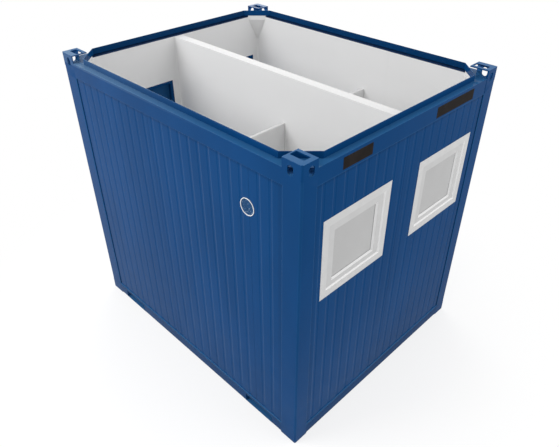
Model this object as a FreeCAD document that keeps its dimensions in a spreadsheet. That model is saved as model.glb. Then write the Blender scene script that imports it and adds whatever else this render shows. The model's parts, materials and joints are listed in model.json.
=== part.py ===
"""Ten-foot toilet container without its roof, as a parametric FreeCAD document.

Millimetres, +Z up.  The origin is the centre of the four bottom corner
fittings' feet.  X is the length, Y is the width.  Each side of the container
has a local frame: "along" runs from left to right for someone who stands
outside and faces that side, "depth" is measured inwards from the outer face
of the steel frame, and "up" is the height above the ground.
"""
import FreeCAD, Part
import os
from FreeCAD import Vector, Rotation

DOC = FreeCAD.newDocument("toilet_container")
SHEET = DOC.addObject("Spreadsheet::Sheet", "Sizes")

SIZES = [
    # overall
    ("length", 2989, "outer length over the steel frame"),
    ("width", 2435, "outer width over the steel frame"),
    ("height", 2820, "ground to the top of the corner fittings"),
    # steel frame
    ("steel", 4, "thickness of the folded frame sections"),
    ("fitting_long", 176, "corner fitting and post along X"),
    ("fitting_wide", 150, "corner fitting and post along Y"),
    ("fitting_tall", 118, "height of a corner fitting"),
    ("fitting_plate", 10, "plate thickness of a corner fitting"),
    ("slot_long", 124, "length of the slot in a fitting's top or foot"),
    ("slot_wide", 63.5, "width of that slot"),
    ("slot_from_end", 102, "slot centre behind the end face"),
    ("slot_from_side", 89, "slot centre behind the side face"),
    ("eye_wide", 52, "width of a lashing eye in a fitting's outer face"),
    ("eye_tall", 78, "height of a lashing eye"),
    ("eye_drop", 70, "centre of a top eye below the fitting's top"),
    ("lip_drop", 72, "top rail's lip below the fitting tops"),
    ("lip_wide", 64, "width of the top rail's lip"),
    ("rail_tall", 136, "height of the top rail's outer face"),
    ("curb_front", 60, "roof curb's outer face behind the frame's face"),
    ("curb_drop", 20, "top of the roof curb below the fitting tops"),
    ("curb_corner", 267, "start of the curb's cut corner, from the frame's face"),
    ("base_gap", 12, "ground to the underside of the bottom rails"),
    ("sill_rise", 31, "top of the bottom rails above the cross members"),
    ("flange", 60, "width of the bottom rail's flanges"),
    ("groove_tall", 9, "height of the bottom rail's groove"),
    ("groove_deep", 6, "depth of the bottom rail's groove"),
    ("pocket_wide", 352, "clear width of a fork pocket"),
    ("pocket_tall", 85, "clear height of a fork pocket"),
    ("pocket_from_end", 469.5, "middle of a fork pocket from its end"),
    ("member_wide", 50, "flange width of a floor cross member"),
    # shell
    ("recess", 14, "wall core's outer face behind the frame's face"),
    ("wall", 83, "thickness of an outer wall"),
    ("wall_drop", 91, "top of the walls below the fitting tops"),
    ("floor_thick", 56, "cross members to the finished floor"),
    ("partition", 92, "thickness of the wall between the two rooms"),
    ("cubicle_wall", 30, "thickness of a cubicle wall"),
    ("cubicle_tall", 2123, "height of a cubicle wall above the floor"),
    ("cubicle_place", 198, "cubicle wall's window-side face from the middle"),
    ("cubicle_door_wide", 625, "width of the way into a cubicle"),
    ("cubicle_door_tall", 2000, "height of the way into a cubicle"),
    ("cubicle_nib", 149, "wall beside the way, on the vent side of its room"),
    # doors
    ("door_wide", 875, "width of the hole for a door frame"),
    ("door_tall", 2125, "height of the hole above the floor"),
    ("door_margin", 83.5, "hole to the wall on its left, seen from outside"),
    ("frame_front", 18.5, "door frame's front behind the frame's face"),
    ("frame_face", 17, "width of the door frame outside the leaf"),
    ("stop_wide", 15, "width of the stop that the leaf closes on"),
    ("leaf_front", 10, "leaf's front behind the frame's face"),
    ("leaf", 40, "thickness of a door leaf"),
    ("stop_gap", 5, "leaf to its stop"),
    ("hinge_gap", 5, "leaf to the frame at the hinges"),
    ("latch_gap", 7, "leaf to the frame at the latch"),
    ("end_gap", 6, "leaf to the frame at its top and bottom"),
    ("hinge_front", 8, "hinge axis behind the frame's face"),
    ("hinge_out", 9, "hinge axis beside the leaf's edge"),
    ("knuckle_r", 7, "radius of a hinge knuckle"),
    ("knuckle_tall", 50, "height of one knuckle"),
    ("knuckle_gap", 1, "play between two knuckles of a hinge"),
    ("pin_r", 4, "radius of a hinge pin"),
    ("pin_play", 0.5, "radial play of a pin in its knuckle"),
    ("hinge_plate", 3, "thickness of a hinge's plate on the leaf"),
    ("hinge_arm", 40, "reach of that plate over the leaf"),
    ("hinge_inset", 180, "leaf's end to the nearest hinge"),
    ("handle_high", 1050, "lever axis above the floor"),
    ("backset", 65, "lever axis to the leaf's free edge"),
    ("plate_wide", 40, "width of a lever's back plate"),
    ("plate_up", 50, "back plate above the lever axis"),
    ("plate_down", 150, "back plate below the lever axis"),
    ("plate_deep", 6, "thickness of a back plate"),
    ("lock_drop", 90, "lock cylinder below the lever axis"),
    ("lock_r", 9, "radius of the lock cylinder"),
    ("lock_stand", 8, "lock cylinder's face in front of the leaf"),
    ("spindle_r", 6, "radius of the spindle through the leaf"),
    ("lever_r", 9, "radius of a lever"),
    ("lever_stand", 33, "lever's centre line in front of the leaf"),
    ("lever_long", 115, "length of a lever"),
    # windows and vent
    ("window_wide", 790, "outer width of a window's frame"),
    ("window_tall", 730, "outer height of a window's frame"),
    ("window_rise", 2127, "top of a window's frame above the floor"),
    ("window_front", 7, "window frame's front behind the frame's face"),
    ("window_lap", 30, "lap of the window frame over the wall"),
    ("window_border", 74, "seen width of the fixed frame"),
    ("sash_border", 74, "seen width of the sash"),
    ("sash_front", 15, "sash front behind the frame's face"),
    ("sash_deep", 50, "depth of the sash"),
    ("pane_front", 24, "glass front behind the frame's face"),
    ("pane", 24, "thickness of the double glazing"),
    ("vent_from_end", 524.5, "vent's axis from the window end"),
    ("vent_rise", 2120, "vent's axis above the floor"),
    ("vent_r", 75, "outer radius of the vent's collar"),
    ("vent_bore_r", 61, "inner radius of the vent"),
    ("vent_tube", 3, "wall of the vent's tube"),
    ("vent_block", 300, "square block in the wall that holds the vent"),
    ("vent_front", 4, "collar's front behind the frame's face"),
    ("grille", 4, "thickness of the vent's grille"),
    ("grille_back", 5, "grille behind the collar's front"),
    ("grille_slot", 5, "height of a slot in the grille"),
    ("grille_pitch", 16, "distance between the slots"),
    ("grille_reach", 78, "length of a slot"),
]
for row, (alias, number, note) in enumerate(SIZES, start=1):
    SHEET.set("A%d" % row, note)
    SHEET.set("B%d" % row, str(number))
    SHEET.setAlias("B%d" % row, alias)
DOC.recompute()


ALIASES = {alias for alias, _, _ in SIZES}

# Places that follow from the sizes and that several pieces share.
PLACES = {
    "floor_under": "base_gap + steel + pocket_tall + steel",
    "floor_top": "floor_under + floor_thick",
    "sill_top": "floor_under + sill_rise",
    "groove_low": "floor_under + steel",
    "groove_high": "groove_low + groove_tall",
    "pocket_place": "length / 2 - pocket_from_end",
    "window_head": "floor_top + window_rise",
    "vent_high": "floor_top + vent_rise",
    "vent_place": "length / 2 - vent_from_end",
    "door_head": "floor_top + door_tall",
    "lip_top": "height - lip_drop",
    "lip_under": "lip_top - steel",
    "rail_foot": "lip_top - rail_tall",
    "curb_top": "height - curb_drop",
    "curb_back": "curb_front + steel",
    "curb_end": "curb_corner + steel * ( 2 ^ 0.5 - 1 )",
    "wall_top": "height - wall_drop",
    "wall_face": "recess + wall",
    "top_fitting_foot": "height - fitting_tall",
    "room_middle": "( partition / 2 + width / 2 - wall_face ) / 2",
    "leaf_low": "floor_top + frame_face + end_gap",
    "leaf_high": "door_head - frame_face - end_gap",
    "leaf_back": "leaf_front + leaf",
    "handle_level": "floor_top + handle_high",
}


def bind(expression):
    """Turn bare names of sizes and places into references to the sheet."""
    words = []
    for word in expression.replace("(", " ( ").replace(")", " ) ").split():
        if word in PLACES:
            words.append("( %s )" % bind(PLACES[word]))
        else:
            words.append("Sizes." + word if word in ALIASES else word)
    return " ".join(words)

# A side's turn about Z, its half depth and its half run.
SIDES = {
    "vent_side": (0, "width", "length"),
    "window_end": (90, "length", "width"),
    "plain_side": (180, "width", "length"),
    "door_end": (270, "length", "width"),
}
CORNERS = {
    "door_vent": (-1, -1),
    "window_vent": (1, -1),
    "window_plain": (1, 1),
    "door_plain": (-1, 1),
}
NODES = []


def node(piece, label):
    """Give a finished sub-part its label and list it for export."""
    piece.Label = label
    NODES.append(piece)
    return piece


def put(piece, side, along, depth, up, turn=None):
    """Place a piece by its local corner on one side of the container."""
    angle, across, _ = SIDES[side]
    rotation = Rotation(Vector(0, 0, 1), angle)
    piece.Placement.Rotation = rotation * turn if turn else rotation
    inward = "( %s - %s / 2 )" % (depth, across)
    x, y = {
        0: (along, inward),
        90: ("- " + inward, along),
        180: ("- ( %s )" % along, "- " + inward),
        270: (inward, "- ( %s )" % along),
    }[angle]
    piece.setExpression("Placement.Base.x", bind(x))
    piece.setExpression("Placement.Base.y", bind(y))
    piece.setExpression("Placement.Base.z", bind(up))
    return piece


def slab(name, side, along, depth, up):
    """A box on one side; each range is a pair of expressions."""
    piece = DOC.addObject("Part::Box", name)
    for edge, (low, high) in zip(("Length", "Width", "Height"), (along, depth, up)):
        piece.setExpression(edge, bind("( %s ) - ( %s )" % (high, low)))
    return put(piece, side, along[0], depth[0], up[0])


def corner_slab(name, corner, from_end, from_side, up):
    """A box at a corner, measured inwards from the end and side faces."""
    ways = CORNERS[corner]
    piece = DOC.addObject("Part::Box", name)
    ranges = (from_end, from_side, up)
    for edge, (low, high) in zip(("Length", "Width", "Height"), ranges):
        piece.setExpression(edge, bind("( %s ) - ( %s )" % (high, low)))
    for axis, way, whole, (low, high) in zip("xy", ways, ("length", "width"), ranges):
        if way > 0:
            place = "%s / 2 - ( %s )" % (whole, high)
        else:
            place = "( %s ) - %s / 2" % (low, whole)
        piece.setExpression("Placement.Base." + axis, bind(place))
    piece.setExpression("Placement.Base.z", bind(up[0]))
    return piece


def corner_spot(corner, from_end, from_side):
    """X and Y expressions of a point measured inwards from a corner."""
    spots = []
    for way, whole, inset in zip(CORNERS[corner], ("length", "width"), (from_end, from_side)):
        sign = "" if way > 0 else "- "
        spots.append("%s( %s / 2 - ( %s ) )" % (sign, whole, inset))
    return spots


def cylinder(name, radius, tall, x, y, z, rotation=None):
    """A cylinder with bound radius, height and base point."""
    piece = DOC.addObject("Part::Cylinder", name)
    piece.setExpression("Radius", bind(radius))
    piece.setExpression("Height", bind(tall))
    if rotation:
        piece.Placement.Rotation = rotation
    for axis, place in zip("xyz", (x, y, z)):
        piece.setExpression("Placement.Base." + axis, bind(place))
    return piece


def fuse(name, pieces):
    """Join pieces into one solid."""
    joined = DOC.addObject("Part::MultiFuse", name)
    joined.Shapes = pieces
    joined.Refine = True
    return joined


def cut(name, base, tool):
    """Take one piece out of another."""
    result = DOC.addObject("Part::Cut", name)
    result.Base = base
    result.Tool = tool
    return result


def bundle(name, pieces):
    """Keep like pieces that don't touch together as one sub-part."""
    group = DOC.addObject("Part::Compound", name)
    group.Links = pieces
    return group


def body_plane(body, role):
    """One of a body's own origin planes."""
    return next(item for item in body.Origin.OriginFeatures if item.Role == role)


def outline(body, name, corners):
    """A closed sketch on the body's XY plane, each corner bound to sizes."""
    sketch = body.newObject("Sketcher::SketchObject", name)
    sketch.AttachmentSupport = [(body_plane(body, "XY_Plane"), "")]
    sketch.MapMode = "FlatFace"
    import Sketcher
    spots = [Vector(10 * i, 7 * i * i, 0) for i in range(len(corners))]
    count = len(corners)
    for i in range(count):
        sketch.addGeometry(Part.LineSegment(spots[i], spots[(i + 1) % count]))
    for i in range(count):
        sketch.addConstraint(Sketcher.Constraint("Coincident", i, 2, (i + 1) % count, 1))
    for i, corner in enumerate(corners):
        for kind, axis_line, place in zip(("DistanceX", "DistanceY"), (-2, -1), corner):
            if place == "0":
                sketch.addConstraint(Sketcher.Constraint("PointOnObject", i, 1, axis_line))
                continue
            rule = sketch.addConstraint(Sketcher.Constraint(kind, -1, 1, i, 1, 10.0 + i))
            sketch.setExpression("Constraints[%d]" % rule, bind(place))
    return sketch


def pad(body, sketch, length):
    """Pad a sketch by a bound length."""
    feature = body.newObject("PartDesign::Pad", sketch.Name + "_pad")
    feature.Profile = sketch
    feature.setExpression("Length", bind(length))
    sketch.Visibility = False
    return feature


# Turns a sketch's axes (across, up, out of the page) to (in, up, along).
PROFILE_TURN = Rotation(Vector(0, 1, 0), Vector(0, 0, 1), Vector(1, 0, 0), "XYZ")


def half(whole):
    """The two ends of a run that is centred on a side's middle."""
    return ("- ( %s ) / 2" % whole, "( %s ) / 2" % whole)


def section(name, side, corners, along):
    """A folded profile, drawn as depth and height, padded along a side."""
    body = DOC.addObject("PartDesign::Body", name)
    sketch = outline(body, name + "_profile", corners)
    pad(body, sketch, "( %s ) - ( %s )" % (along[1], along[0]))
    return put(body, side, along[0], "0", "0", PROFILE_TURN)


def ring_sketch(body, name, outer, inner, lift=None):
    """Two rectangles, one in the other, each as ((low, low), (high, high))."""
    import Sketcher
    sketch = body.newObject("Sketcher::SketchObject", name)
    sketch.AttachmentSupport = [(body_plane(body, "XY_Plane"), "")]
    sketch.MapMode = "FlatFace"
    if lift:
        sketch.setExpression("AttachmentOffset.Base.z", bind(lift))
    for loop, (low, high) in enumerate((outer, inner)):
        reach = 200 - 100 * loop
        spots = [Vector(x * reach, y * reach, 0) for x, y in ((-1, -1), (1, -1), (1, 1), (-1, 1))]
        first = 4 * loop
        for i in range(4):
            sketch.addGeometry(Part.LineSegment(spots[i], spots[(i + 1) % 4]))
        for i in range(4):
            sketch.addConstraint(
                Sketcher.Constraint("Coincident", first + i, 2, first + (i + 1) % 4, 1)
            )
            kind = "Vertical" if i % 2 else "Horizontal"
            sketch.addConstraint(Sketcher.Constraint(kind, first + i))
        for corner, (x, y) in ((0, low), (2, high)):
            for kind, place, now in (("DistanceX", x, 0), ("DistanceY", y, 1)):
                value = reach * (1 if corner else -1)
                rule = sketch.addConstraint(
                    Sketcher.Constraint(kind, -1, 1, first + corner, 1, value)
                )
                sketch.setExpression("Constraints[%d]" % rule, bind(place))
    return sketch


def stadium(name, side_or_corner, along, depth, up, upright):
    """A slot cutter with round ends: a box between two cylinders.

    along and up are (middle, whole size) on the slot's face, depth a range.
    """
    (mid, wide), (level, tall) = along, up
    if upright:
        run, round_d = tall, wide
    else:
        run, round_d = wide, tall
    straight = "( ( %s ) - ( %s ) )" % (run, round_d)
    turn = Rotation(Vector(1, 0, 0), -90)
    pieces = []
    if upright:
        box_along = ("( %s ) - ( %s ) / 2" % (mid, wide), "( %s ) + ( %s ) / 2" % (mid, wide))
        box_up = ("( %s ) - %s / 2" % (level, straight), "( %s ) + %s / 2" % (level, straight))
    else:
        box_along = ("( %s ) - %s / 2" % (mid, straight), "( %s ) + %s / 2" % (mid, straight))
        box_up = ("( %s ) - ( %s ) / 2" % (level, tall), "( %s ) + ( %s ) / 2" % (level, tall))
    pieces.append(slab(name + "_middle", side_or_corner, box_along, depth, box_up))
    for end, sign in (("low", "-"), ("high", "+")):
        piece = DOC.addObject("Part::Cylinder", name + "_" + end)
        piece.setExpression("Radius", bind("( %s ) / 2" % round_d))
        piece.setExpression("Height", bind("( %s ) - ( %s )" % (depth[1], depth[0])))
        if upright:
            put(piece, side_or_corner, mid, depth[0],
                "( %s ) %s %s / 2" % (level, sign, straight), turn)
        else:
            put(piece, side_or_corner, "( %s ) %s %s / 2" % (mid, sign, straight), depth[0],
                level, turn)
        pieces.append(piece)
    return fuse(name, pieces)


def foot_slot(name, corner, up):
    """The slot through a fitting's top or foot plate, long along X."""
    straight = "( slot_long - slot_wide )"
    end, side = "slot_from_end", "slot_from_side"
    pieces = [
        corner_slab(
            name + "_middle", corner,
            ("%s - %s / 2" % (end, straight), "%s + %s / 2" % (end, straight)),
            ("%s - slot_wide / 2" % side, "%s + slot_wide / 2" % side),
            up,
        )
    ]
    for tag, sign in (("outer", "-"), ("inner", "+")):
        x, y = corner_spot(corner, "%s %s %s / 2" % (end, sign, straight), side)
        pieces.append(
            cylinder(
                name + "_" + tag, "slot_wide / 2", "( %s ) - ( %s )" % (up[1], up[0]),
                x, y, up[0],
            )
        )
    return fuse(name, pieces)


# ---------------------------------------------------------------- corners
# Which side's face an eye is in, and where the corner lies along that side.
EYE_SIDES = {
    "door_vent": (("vent_side", "-"), ("door_end", "+")),
    "window_vent": (("vent_side", "+"), ("window_end", "-")),
    "window_plain": (("plain_side", "-"), ("window_end", "+")),
    "door_plain": (("plain_side", "+"), ("door_end", "-")),
}


def corner_fitting(corner, top):
    """A hollow corner fitting with a slot, and at the top an eye in each outer face."""
    kind = "top_fitting" if top else "bottom_fitting"
    tag = kind + "_" + corner
    foot = "top_fitting_foot" if top else "0"
    head = "height" if top else "fitting_tall"
    block = corner_slab(tag + "_block", corner, ("0", "fitting_long"), ("0", "fitting_wide"),
                        (foot, head))
    tools = [
        corner_slab(
            tag + "_hollow", corner,
            ("fitting_plate", "fitting_long - fitting_plate"),
            ("fitting_plate", "fitting_wide - fitting_plate"),
            (foot + " + fitting_plate", head + " - fitting_plate"),
        )
    ]
    if top:
        tools.append(
            corner_slab(
                tag + "_mouth", corner,
                ("fitting_plate", "fitting_long + fitting_plate"),
                ("fitting_plate", "fitting_wide + fitting_plate"),
                ("lip_under", "height - fitting_plate"),
            )
        )
        tools.append(foot_slot(tag + "_slot", corner,
                               ("height - 2 * fitting_plate", "height + fitting_plate")))
    else:
        tools.append(foot_slot(tag + "_slot", corner, ("- fitting_plate", "2 * fitting_plate")))
    for side, sign in EYE_SIDES[corner] if top else ():
        long_side = side in ("vent_side", "plain_side")
        inset = "slot_from_end" if long_side else "slot_from_side"
        whole = "length" if long_side else "width"
        middle = "%s ( %s / 2 - %s )" % (sign, whole, inset)
        tools.append(
            stadium(
                tag + "_eye_" + side, side, (middle, "eye_wide"),
                ("- fitting_plate", "2 * fitting_plate"),
                ("height - eye_drop", "eye_tall"), True,
            )
        )
    return node(cut(tag, block, fuse(tag + "_tools", tools)), tag)


def corner_profile(corner, points):
    """World X and Y of points given as (from the end, from the side)."""
    return [corner_spot(corner, a, b) for a, b in points]


def post(corner):
    """An open folded post whose returns reach the walls' outer faces."""
    tag = "post_" + corner
    body = DOC.addObject("PartDesign::Body", tag)
    points = [
        ("0", "0"), ("fitting_long", "0"), ("fitting_long", "recess"),
        ("fitting_long - steel", "recess"), ("fitting_long - steel", "steel"),
        ("steel", "steel"), ("steel", "fitting_wide - steel"),
        ("recess", "fitting_wide - steel"), ("recess", "fitting_wide"),
        ("0", "fitting_wide"),
    ]
    sketch = outline(body, tag + "_profile", corner_profile(corner, points))
    pad(body, sketch, "top_fitting_foot - fitting_tall")
    body.setExpression("Placement.Base.z", bind("fitting_tall"))
    return node(body, tag)


def corner_plate(corner):
    """Plate that carries the roof curb across a corner, and that curb."""
    tag = "corner_plate_" + corner
    p, wide, tall = "fitting_plate", "fitting_wide", "fitting_long"
    skew_a = "( %s * ( 1 - %s / %s ) )" % (tall, p, wide)
    skew_b = "( %s * ( 1 - %s / %s ) )" % (wide, p, tall)
    plate = DOC.addObject("PartDesign::Body", tag + "_plate")
    flat = [
        (skew_a, p), (tall, p), (tall, "lip_wide"), ("curb_end", "lip_wide"),
        ("lip_wide", "curb_end"), ("lip_wide", wide), (p, wide), (p, skew_b),
    ]
    pad(plate, outline(plate, tag + "_flat", corner_profile(corner, flat)), "steel")
    plate.setExpression("Placement.Base.z", bind("lip_under"))
    curb = DOC.addObject("PartDesign::Body", tag + "_curb")
    strip = [
        ("curb_corner", "curb_front"), ("curb_end", "curb_front"), ("curb_end", "curb_back"),
        ("curb_back", "curb_end"), ("curb_front", "curb_end"), ("curb_front", "curb_corner"),
    ]
    pad(curb, outline(curb, tag + "_strip", corner_profile(corner, strip)),
        "curb_top - lip_top")
    curb.setExpression("Placement.Base.z", bind("lip_top"))
    return fuse(tag, [plate, curb])


def corner_notches(name, corners, up):
    """Cutters that clear the corner fittings."""
    return [
        corner_slab("%s_%s" % (name, corner), corner, ("0", "fitting_long"),
                    ("0", "fitting_wide"), up)
        for corner in corners
    ]


for corner in CORNERS:
    post(corner)
    corner_fitting(corner, top=True)
    corner_fitting(corner, top=False)
node(bundle("corner_plates", [corner_plate(corner) for corner in CORNERS]), "corner_plates")

# ------------------------------------------------------------------ rails
for side, (_, across, whole) in SIDES.items():
    long_side = whole == "length"
    inset = "fitting_long" if long_side else "fitting_wide"
    run = half("%s - 2 * %s" % (whole, inset))
    top = section(
        "top_rail_%s_fold" % side, side,
        [
            ("0", "rail_foot"), ("recess", "rail_foot"), ("recess", "rail_foot + steel"),
            ("steel", "rail_foot + steel"), ("steel", "lip_under"),
            ("lip_wide", "lip_under"), ("lip_wide", "lip_top"), ("0", "lip_top"),
        ],
        run,
    )
    curb = slab(
        "top_rail_%s_curb" % side, side, half("%s - 2 * curb_end" % whole),
        ("curb_front", "curb_back"), ("lip_top", "curb_top"),
    )
    node(fuse("top_rail_" + side, [top, curb]), "top_rail_" + side)

    low = section(
        "bottom_rail_%s_fold" % side, side,
        [
            ("0", "base_gap"), ("flange", "base_gap"), ("flange", "base_gap + steel"),
            ("steel", "base_gap + steel"), ("steel", "groove_low - steel"),
            ("groove_deep + steel", "groove_low - steel"),
            ("groove_deep + steel", "groove_high + steel"),
            ("steel", "groove_high + steel"), ("steel", "sill_top - steel"),
            ("flange", "sill_top - steel"), ("flange", "sill_top"), ("0", "sill_top"),
            ("0", "groove_high"), ("groove_deep", "groove_high"),
            ("groove_deep", "groove_low"), ("0", "groove_low"),
        ],
        run,
    )
    if long_side:
        notches = [
            slab(
                "bottom_rail_%s_notch_%s" % (side, tag), side,
                (
                    "%s pocket_place - pocket_wide / 2 - steel" % sign,
                    "%s pocket_place + pocket_wide / 2 + steel" % sign,
                ),
                ("- flange", "2 * flange"),
                ("0", "floor_under"),
            )
            for tag, sign in (("low", "-"), ("high", ""))
        ]
        low = cut("bottom_rail_" + side, low, fuse("bottom_rail_%s_notches" % side, notches))
    node(low, "bottom_rail_" + side)

# ------------------------------------------------------------------ floor
for tag, sign in (("door", "-"), ("window", "")):
    middle = "%s pocket_place" % sign
    tube = slab(
        "fork_pocket_%s_tube" % tag, "vent_side",
        (middle + " - pocket_wide / 2 - steel", middle + " + pocket_wide / 2 + steel"),
        ("0", "width"), ("base_gap", "floor_under"),
    )
    way = slab(
        "fork_pocket_%s_way" % tag, "vent_side",
        (middle + " - pocket_wide / 2", middle + " + pocket_wide / 2"),
        ("- steel", "width + steel"), ("base_gap + steel", "base_gap + steel + pocket_tall"),
    )
    node(cut("fork_pocket_" + tag, tube, way), "fork_pocket_" + tag)

# Channel-shaped cross members between the long rails, clear of the pockets.
BAY = "( pocket_place - pocket_wide / 2 - steel )"
TAIL = "( ( pocket_place + pocket_wide / 2 + steel + length / 2 - fitting_long ) / 2 )"
members = []
for count, middle in enumerate(
    ["- " + TAIL, "- 2 * %s / 3" % BAY, "- %s / 3" % BAY, "0", "%s / 3" % BAY,
     "2 * %s / 3" % BAY, TAIL]
):
    near, far = "member_wide / 2", "- member_wide / 2"
    low, high = "( base_gap + steel )", "floor_under"
    body = DOC.addObject("PartDesign::Body", "floor_member_%d" % count)
    # Drawn on the end of the container: across is measured along X.
    points = [
        (far, low), (near, low), (near, low + " + steel"), (far + " + steel", low + " + steel"),
        (far + " + steel", high + " - steel"), (near, high + " - steel"), (near, high),
        (far, high),
    ]
    points = [("( %s ) + %s" % (x, middle), z) for x, z in points]
    pad(body, outline(body, "floor_member_%d_profile" % count, points), "width - 2 * steel")
    body.Placement.Rotation = Rotation(Vector(1, 0, 0), 90)
    body.setExpression("Placement.Base.y", bind("width / 2 - steel"))
    members.append(body)
node(bundle("floor_members", members), "floor_members")
floor = slab("floor_slab", "vent_side", half("length - 2 * wall_face"),
             ("wall_face", "width - wall_face"), ("floor_under", "floor_top"))
node(cut("floor", floor, fuse("floor_notches",
                              corner_notches("floor_notch", CORNERS, ("0", "fitting_tall")))),
     "floor")

# ------------------------------------------------------------------ walls
WALL_UP = ("sill_top", "wall_top")
WALL_DEEP = ("recess", "wall_face")
HEAD_UP = ("top_fitting_foot", "height")
END_RUN = half("width - 2 * wall_face")
SIDE_RUN = half("length - 2 * recess")


def face_hole(name, side, along, up, radius, depth):
    """A round cutter or bar square to a side."""
    piece = DOC.addObject("Part::Cylinder", name)
    piece.setExpression("Radius", bind(radius))
    piece.setExpression("Height", bind("( %s ) - ( %s )" % (depth[1], depth[0])))
    return put(piece, side, along, depth[0], up, Rotation(Vector(1, 0, 0), -90))


vent_wall = slab("wall_vent_side_core", "vent_side", SIDE_RUN, WALL_DEEP, WALL_UP)
VENT_ALONG = ("vent_place - vent_block / 2", "vent_place + vent_block / 2")
VENT_UP = ("vent_high - vent_block / 2", "vent_high + vent_block / 2")
vent_hole = slab("wall_vent_side_hole", "vent_side", VENT_ALONG, ("0", "wall_face + recess"),
                 VENT_UP)
tools = corner_notches("wall_vent_side_notch", ("door_vent", "window_vent"), HEAD_UP)
node(cut("wall_vent_side", vent_wall, fuse("wall_vent_side_tools", tools + [vent_hole])),
     "wall_vent_side")
vent_seat = slab("vent_block_blank", "vent_side", VENT_ALONG, WALL_DEEP, VENT_UP)
vent_mouth = face_hole("vent_block_hole", "vent_side", "vent_place", "vent_high",
                       "vent_bore_r + vent_tube", ("0", "wall_face + recess"))
node(cut("vent_block", vent_seat, vent_mouth), "vent_block")
plain_wall = slab("wall_plain_side_core", "plain_side", SIDE_RUN, WALL_DEEP, WALL_UP)
tools = corner_notches("wall_plain_side_notch", ("door_plain", "window_plain"), HEAD_UP)
node(cut("wall_plain_side", plain_wall, fuse("wall_plain_side_tools", tools)),
     "wall_plain_side")

# Window end: one window in the middle of each room.
WINDOWS = {"1": "- room_middle", "2": "room_middle"}
OUTWARD = Rotation(Vector(1, 0, 0), 90)


def window_loop(middle, inset):
    """The corners of a window's outline, drawn in by an inset."""
    return (
        (
            "%s - ( window_wide / 2 - ( %s ) )" % (middle, inset),
            "window_head - window_tall + ( %s )" % inset,
        ),
        ("%s + ( window_wide / 2 - ( %s ) )" % (middle, inset), "window_head - ( %s )" % inset),
    )


holes = []
for tag, middle in WINDOWS.items():
    low, high = window_loop(middle, "window_lap")
    holes.append(
        slab("wall_window_end_hole_" + tag, "window_end", (low[0], high[0]),
             ("0", "wall_face + recess"), (low[1], high[1]))
    )
window_wall = slab("wall_window_end_core", "window_end", END_RUN, WALL_DEEP, WALL_UP)
holes += corner_notches("wall_window_end_notch", ("window_vent", "window_plain"), HEAD_UP)
node(cut("wall_window_end", window_wall, fuse("wall_window_end_tools", holes)),
     "wall_window_end")

for tag, middle in WINDOWS.items():
    frame = DOC.addObject("PartDesign::Body", "window_frame_" + tag)
    inner = window_loop(middle, "window_border")
    pad(frame, ring_sketch(frame, "window_frame_%s_liner" % tag,
                           window_loop(middle, "window_lap"), inner),
        "wall_face - window_front")
    pad(frame, ring_sketch(frame, "window_frame_%s_flange" % tag,
                           window_loop(middle, "0"), inner, "wall"),
        "recess - window_front")
    node(put(frame, "window_end", "0", "wall_face", "0", OUTWARD), "window_frame_" + tag)

    sash = DOC.addObject("PartDesign::Body", "window_sash_" + tag)
    clear = window_loop(middle, "window_border + sash_border")
    pad(sash, ring_sketch(sash, "window_sash_%s_ring" % tag, inner, clear), "sash_deep")
    node(put(sash, "window_end", "0", "sash_front + sash_deep", "0", OUTWARD),
         "window_sash_" + tag)
    node(
        slab("window_pane_" + tag, "window_end", (clear[0][0], clear[1][0]),
             ("pane_front", "pane_front + pane"), (clear[0][1], clear[1][1])),
        "window_pane_" + tag,
    )

# Vent: a flanged tube through the wall with a slotted disc in its mouth.
collar = fuse(
    "vent_collar_blank",
    [
        face_hole("vent_collar_flange", "vent_side", "vent_place", "vent_high", "vent_r",
                  ("vent_front", "recess")),
        face_hole("vent_collar_tube", "vent_side", "vent_place", "vent_high",
                  "vent_bore_r + vent_tube", ("vent_front", "wall_face")),
    ],
)
bore = face_hole("vent_collar_bore", "vent_side", "vent_place", "vent_high", "vent_bore_r",
                 ("0", "wall_face + recess"))
node(cut("vent_collar", collar, bore), "vent_collar")
GRILLE_DEEP = ("vent_front + grille_back", "vent_front + grille_back + grille")
disc = face_hole("vent_grille_disc", "vent_side", "vent_place", "vent_high", "vent_bore_r",
                 GRILLE_DEEP)
slots = [
    slab(
        "vent_grille_slot_%d" % count, "vent_side",
        ("vent_place - grille_reach / 2", "vent_place + grille_reach / 2"),
        ("vent_front", "wall_face"),
        (
            "vent_high + %d * grille_pitch - grille_slot / 2" % step,
            "vent_high + %d * grille_pitch + grille_slot / 2" % step,
        ),
    )
    for count, step in enumerate((-2, -1, 0, 1, 2))
]
node(cut("vent_grille", disc, fuse("vent_grille_slots", slots)), "vent_grille")

# ------------------------------------------------------------- partitions
node(
    slab("partition", "vent_side", half("length - 2 * wall_face"),
         ("width / 2 - partition / 2", "width / 2 + partition / 2"),
         ("floor_top", "wall_top")),
    "partition",
)
for tag, start, end in (
    ("1", "wall_face", "( width / 2 - partition / 2 )"),
    ("2", "( width / 2 + partition / 2 )", "( width - wall_face )"),
):
    along = ("cubicle_place - cubicle_wall", "cubicle_place")
    whole = slab("cubicle_wall_%s_whole" % tag, "vent_side", along, (start, end),
                 ("floor_top", "floor_top + cubicle_tall"))
    way = slab(
        "cubicle_wall_%s_way" % tag, "vent_side",
        ("cubicle_place - 2 * cubicle_wall", "cubicle_place + cubicle_wall"),
        (start + " + cubicle_nib", start + " + cubicle_nib + cubicle_door_wide"),
        ("floor_top - cubicle_wall", "floor_top + cubicle_door_tall"),
    )
    node(cut("cubicle_wall_" + tag, whole, way), "cubicle_wall_" + tag)

# ------------------------------------------------- door end and its doors
# Where each door hole begins, seen from outside: its room's left wall first.
DOORS = {
    "1": "( partition / 2 + door_margin )",
    "2": "( wall_face - width / 2 + door_margin )",
}

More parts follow.
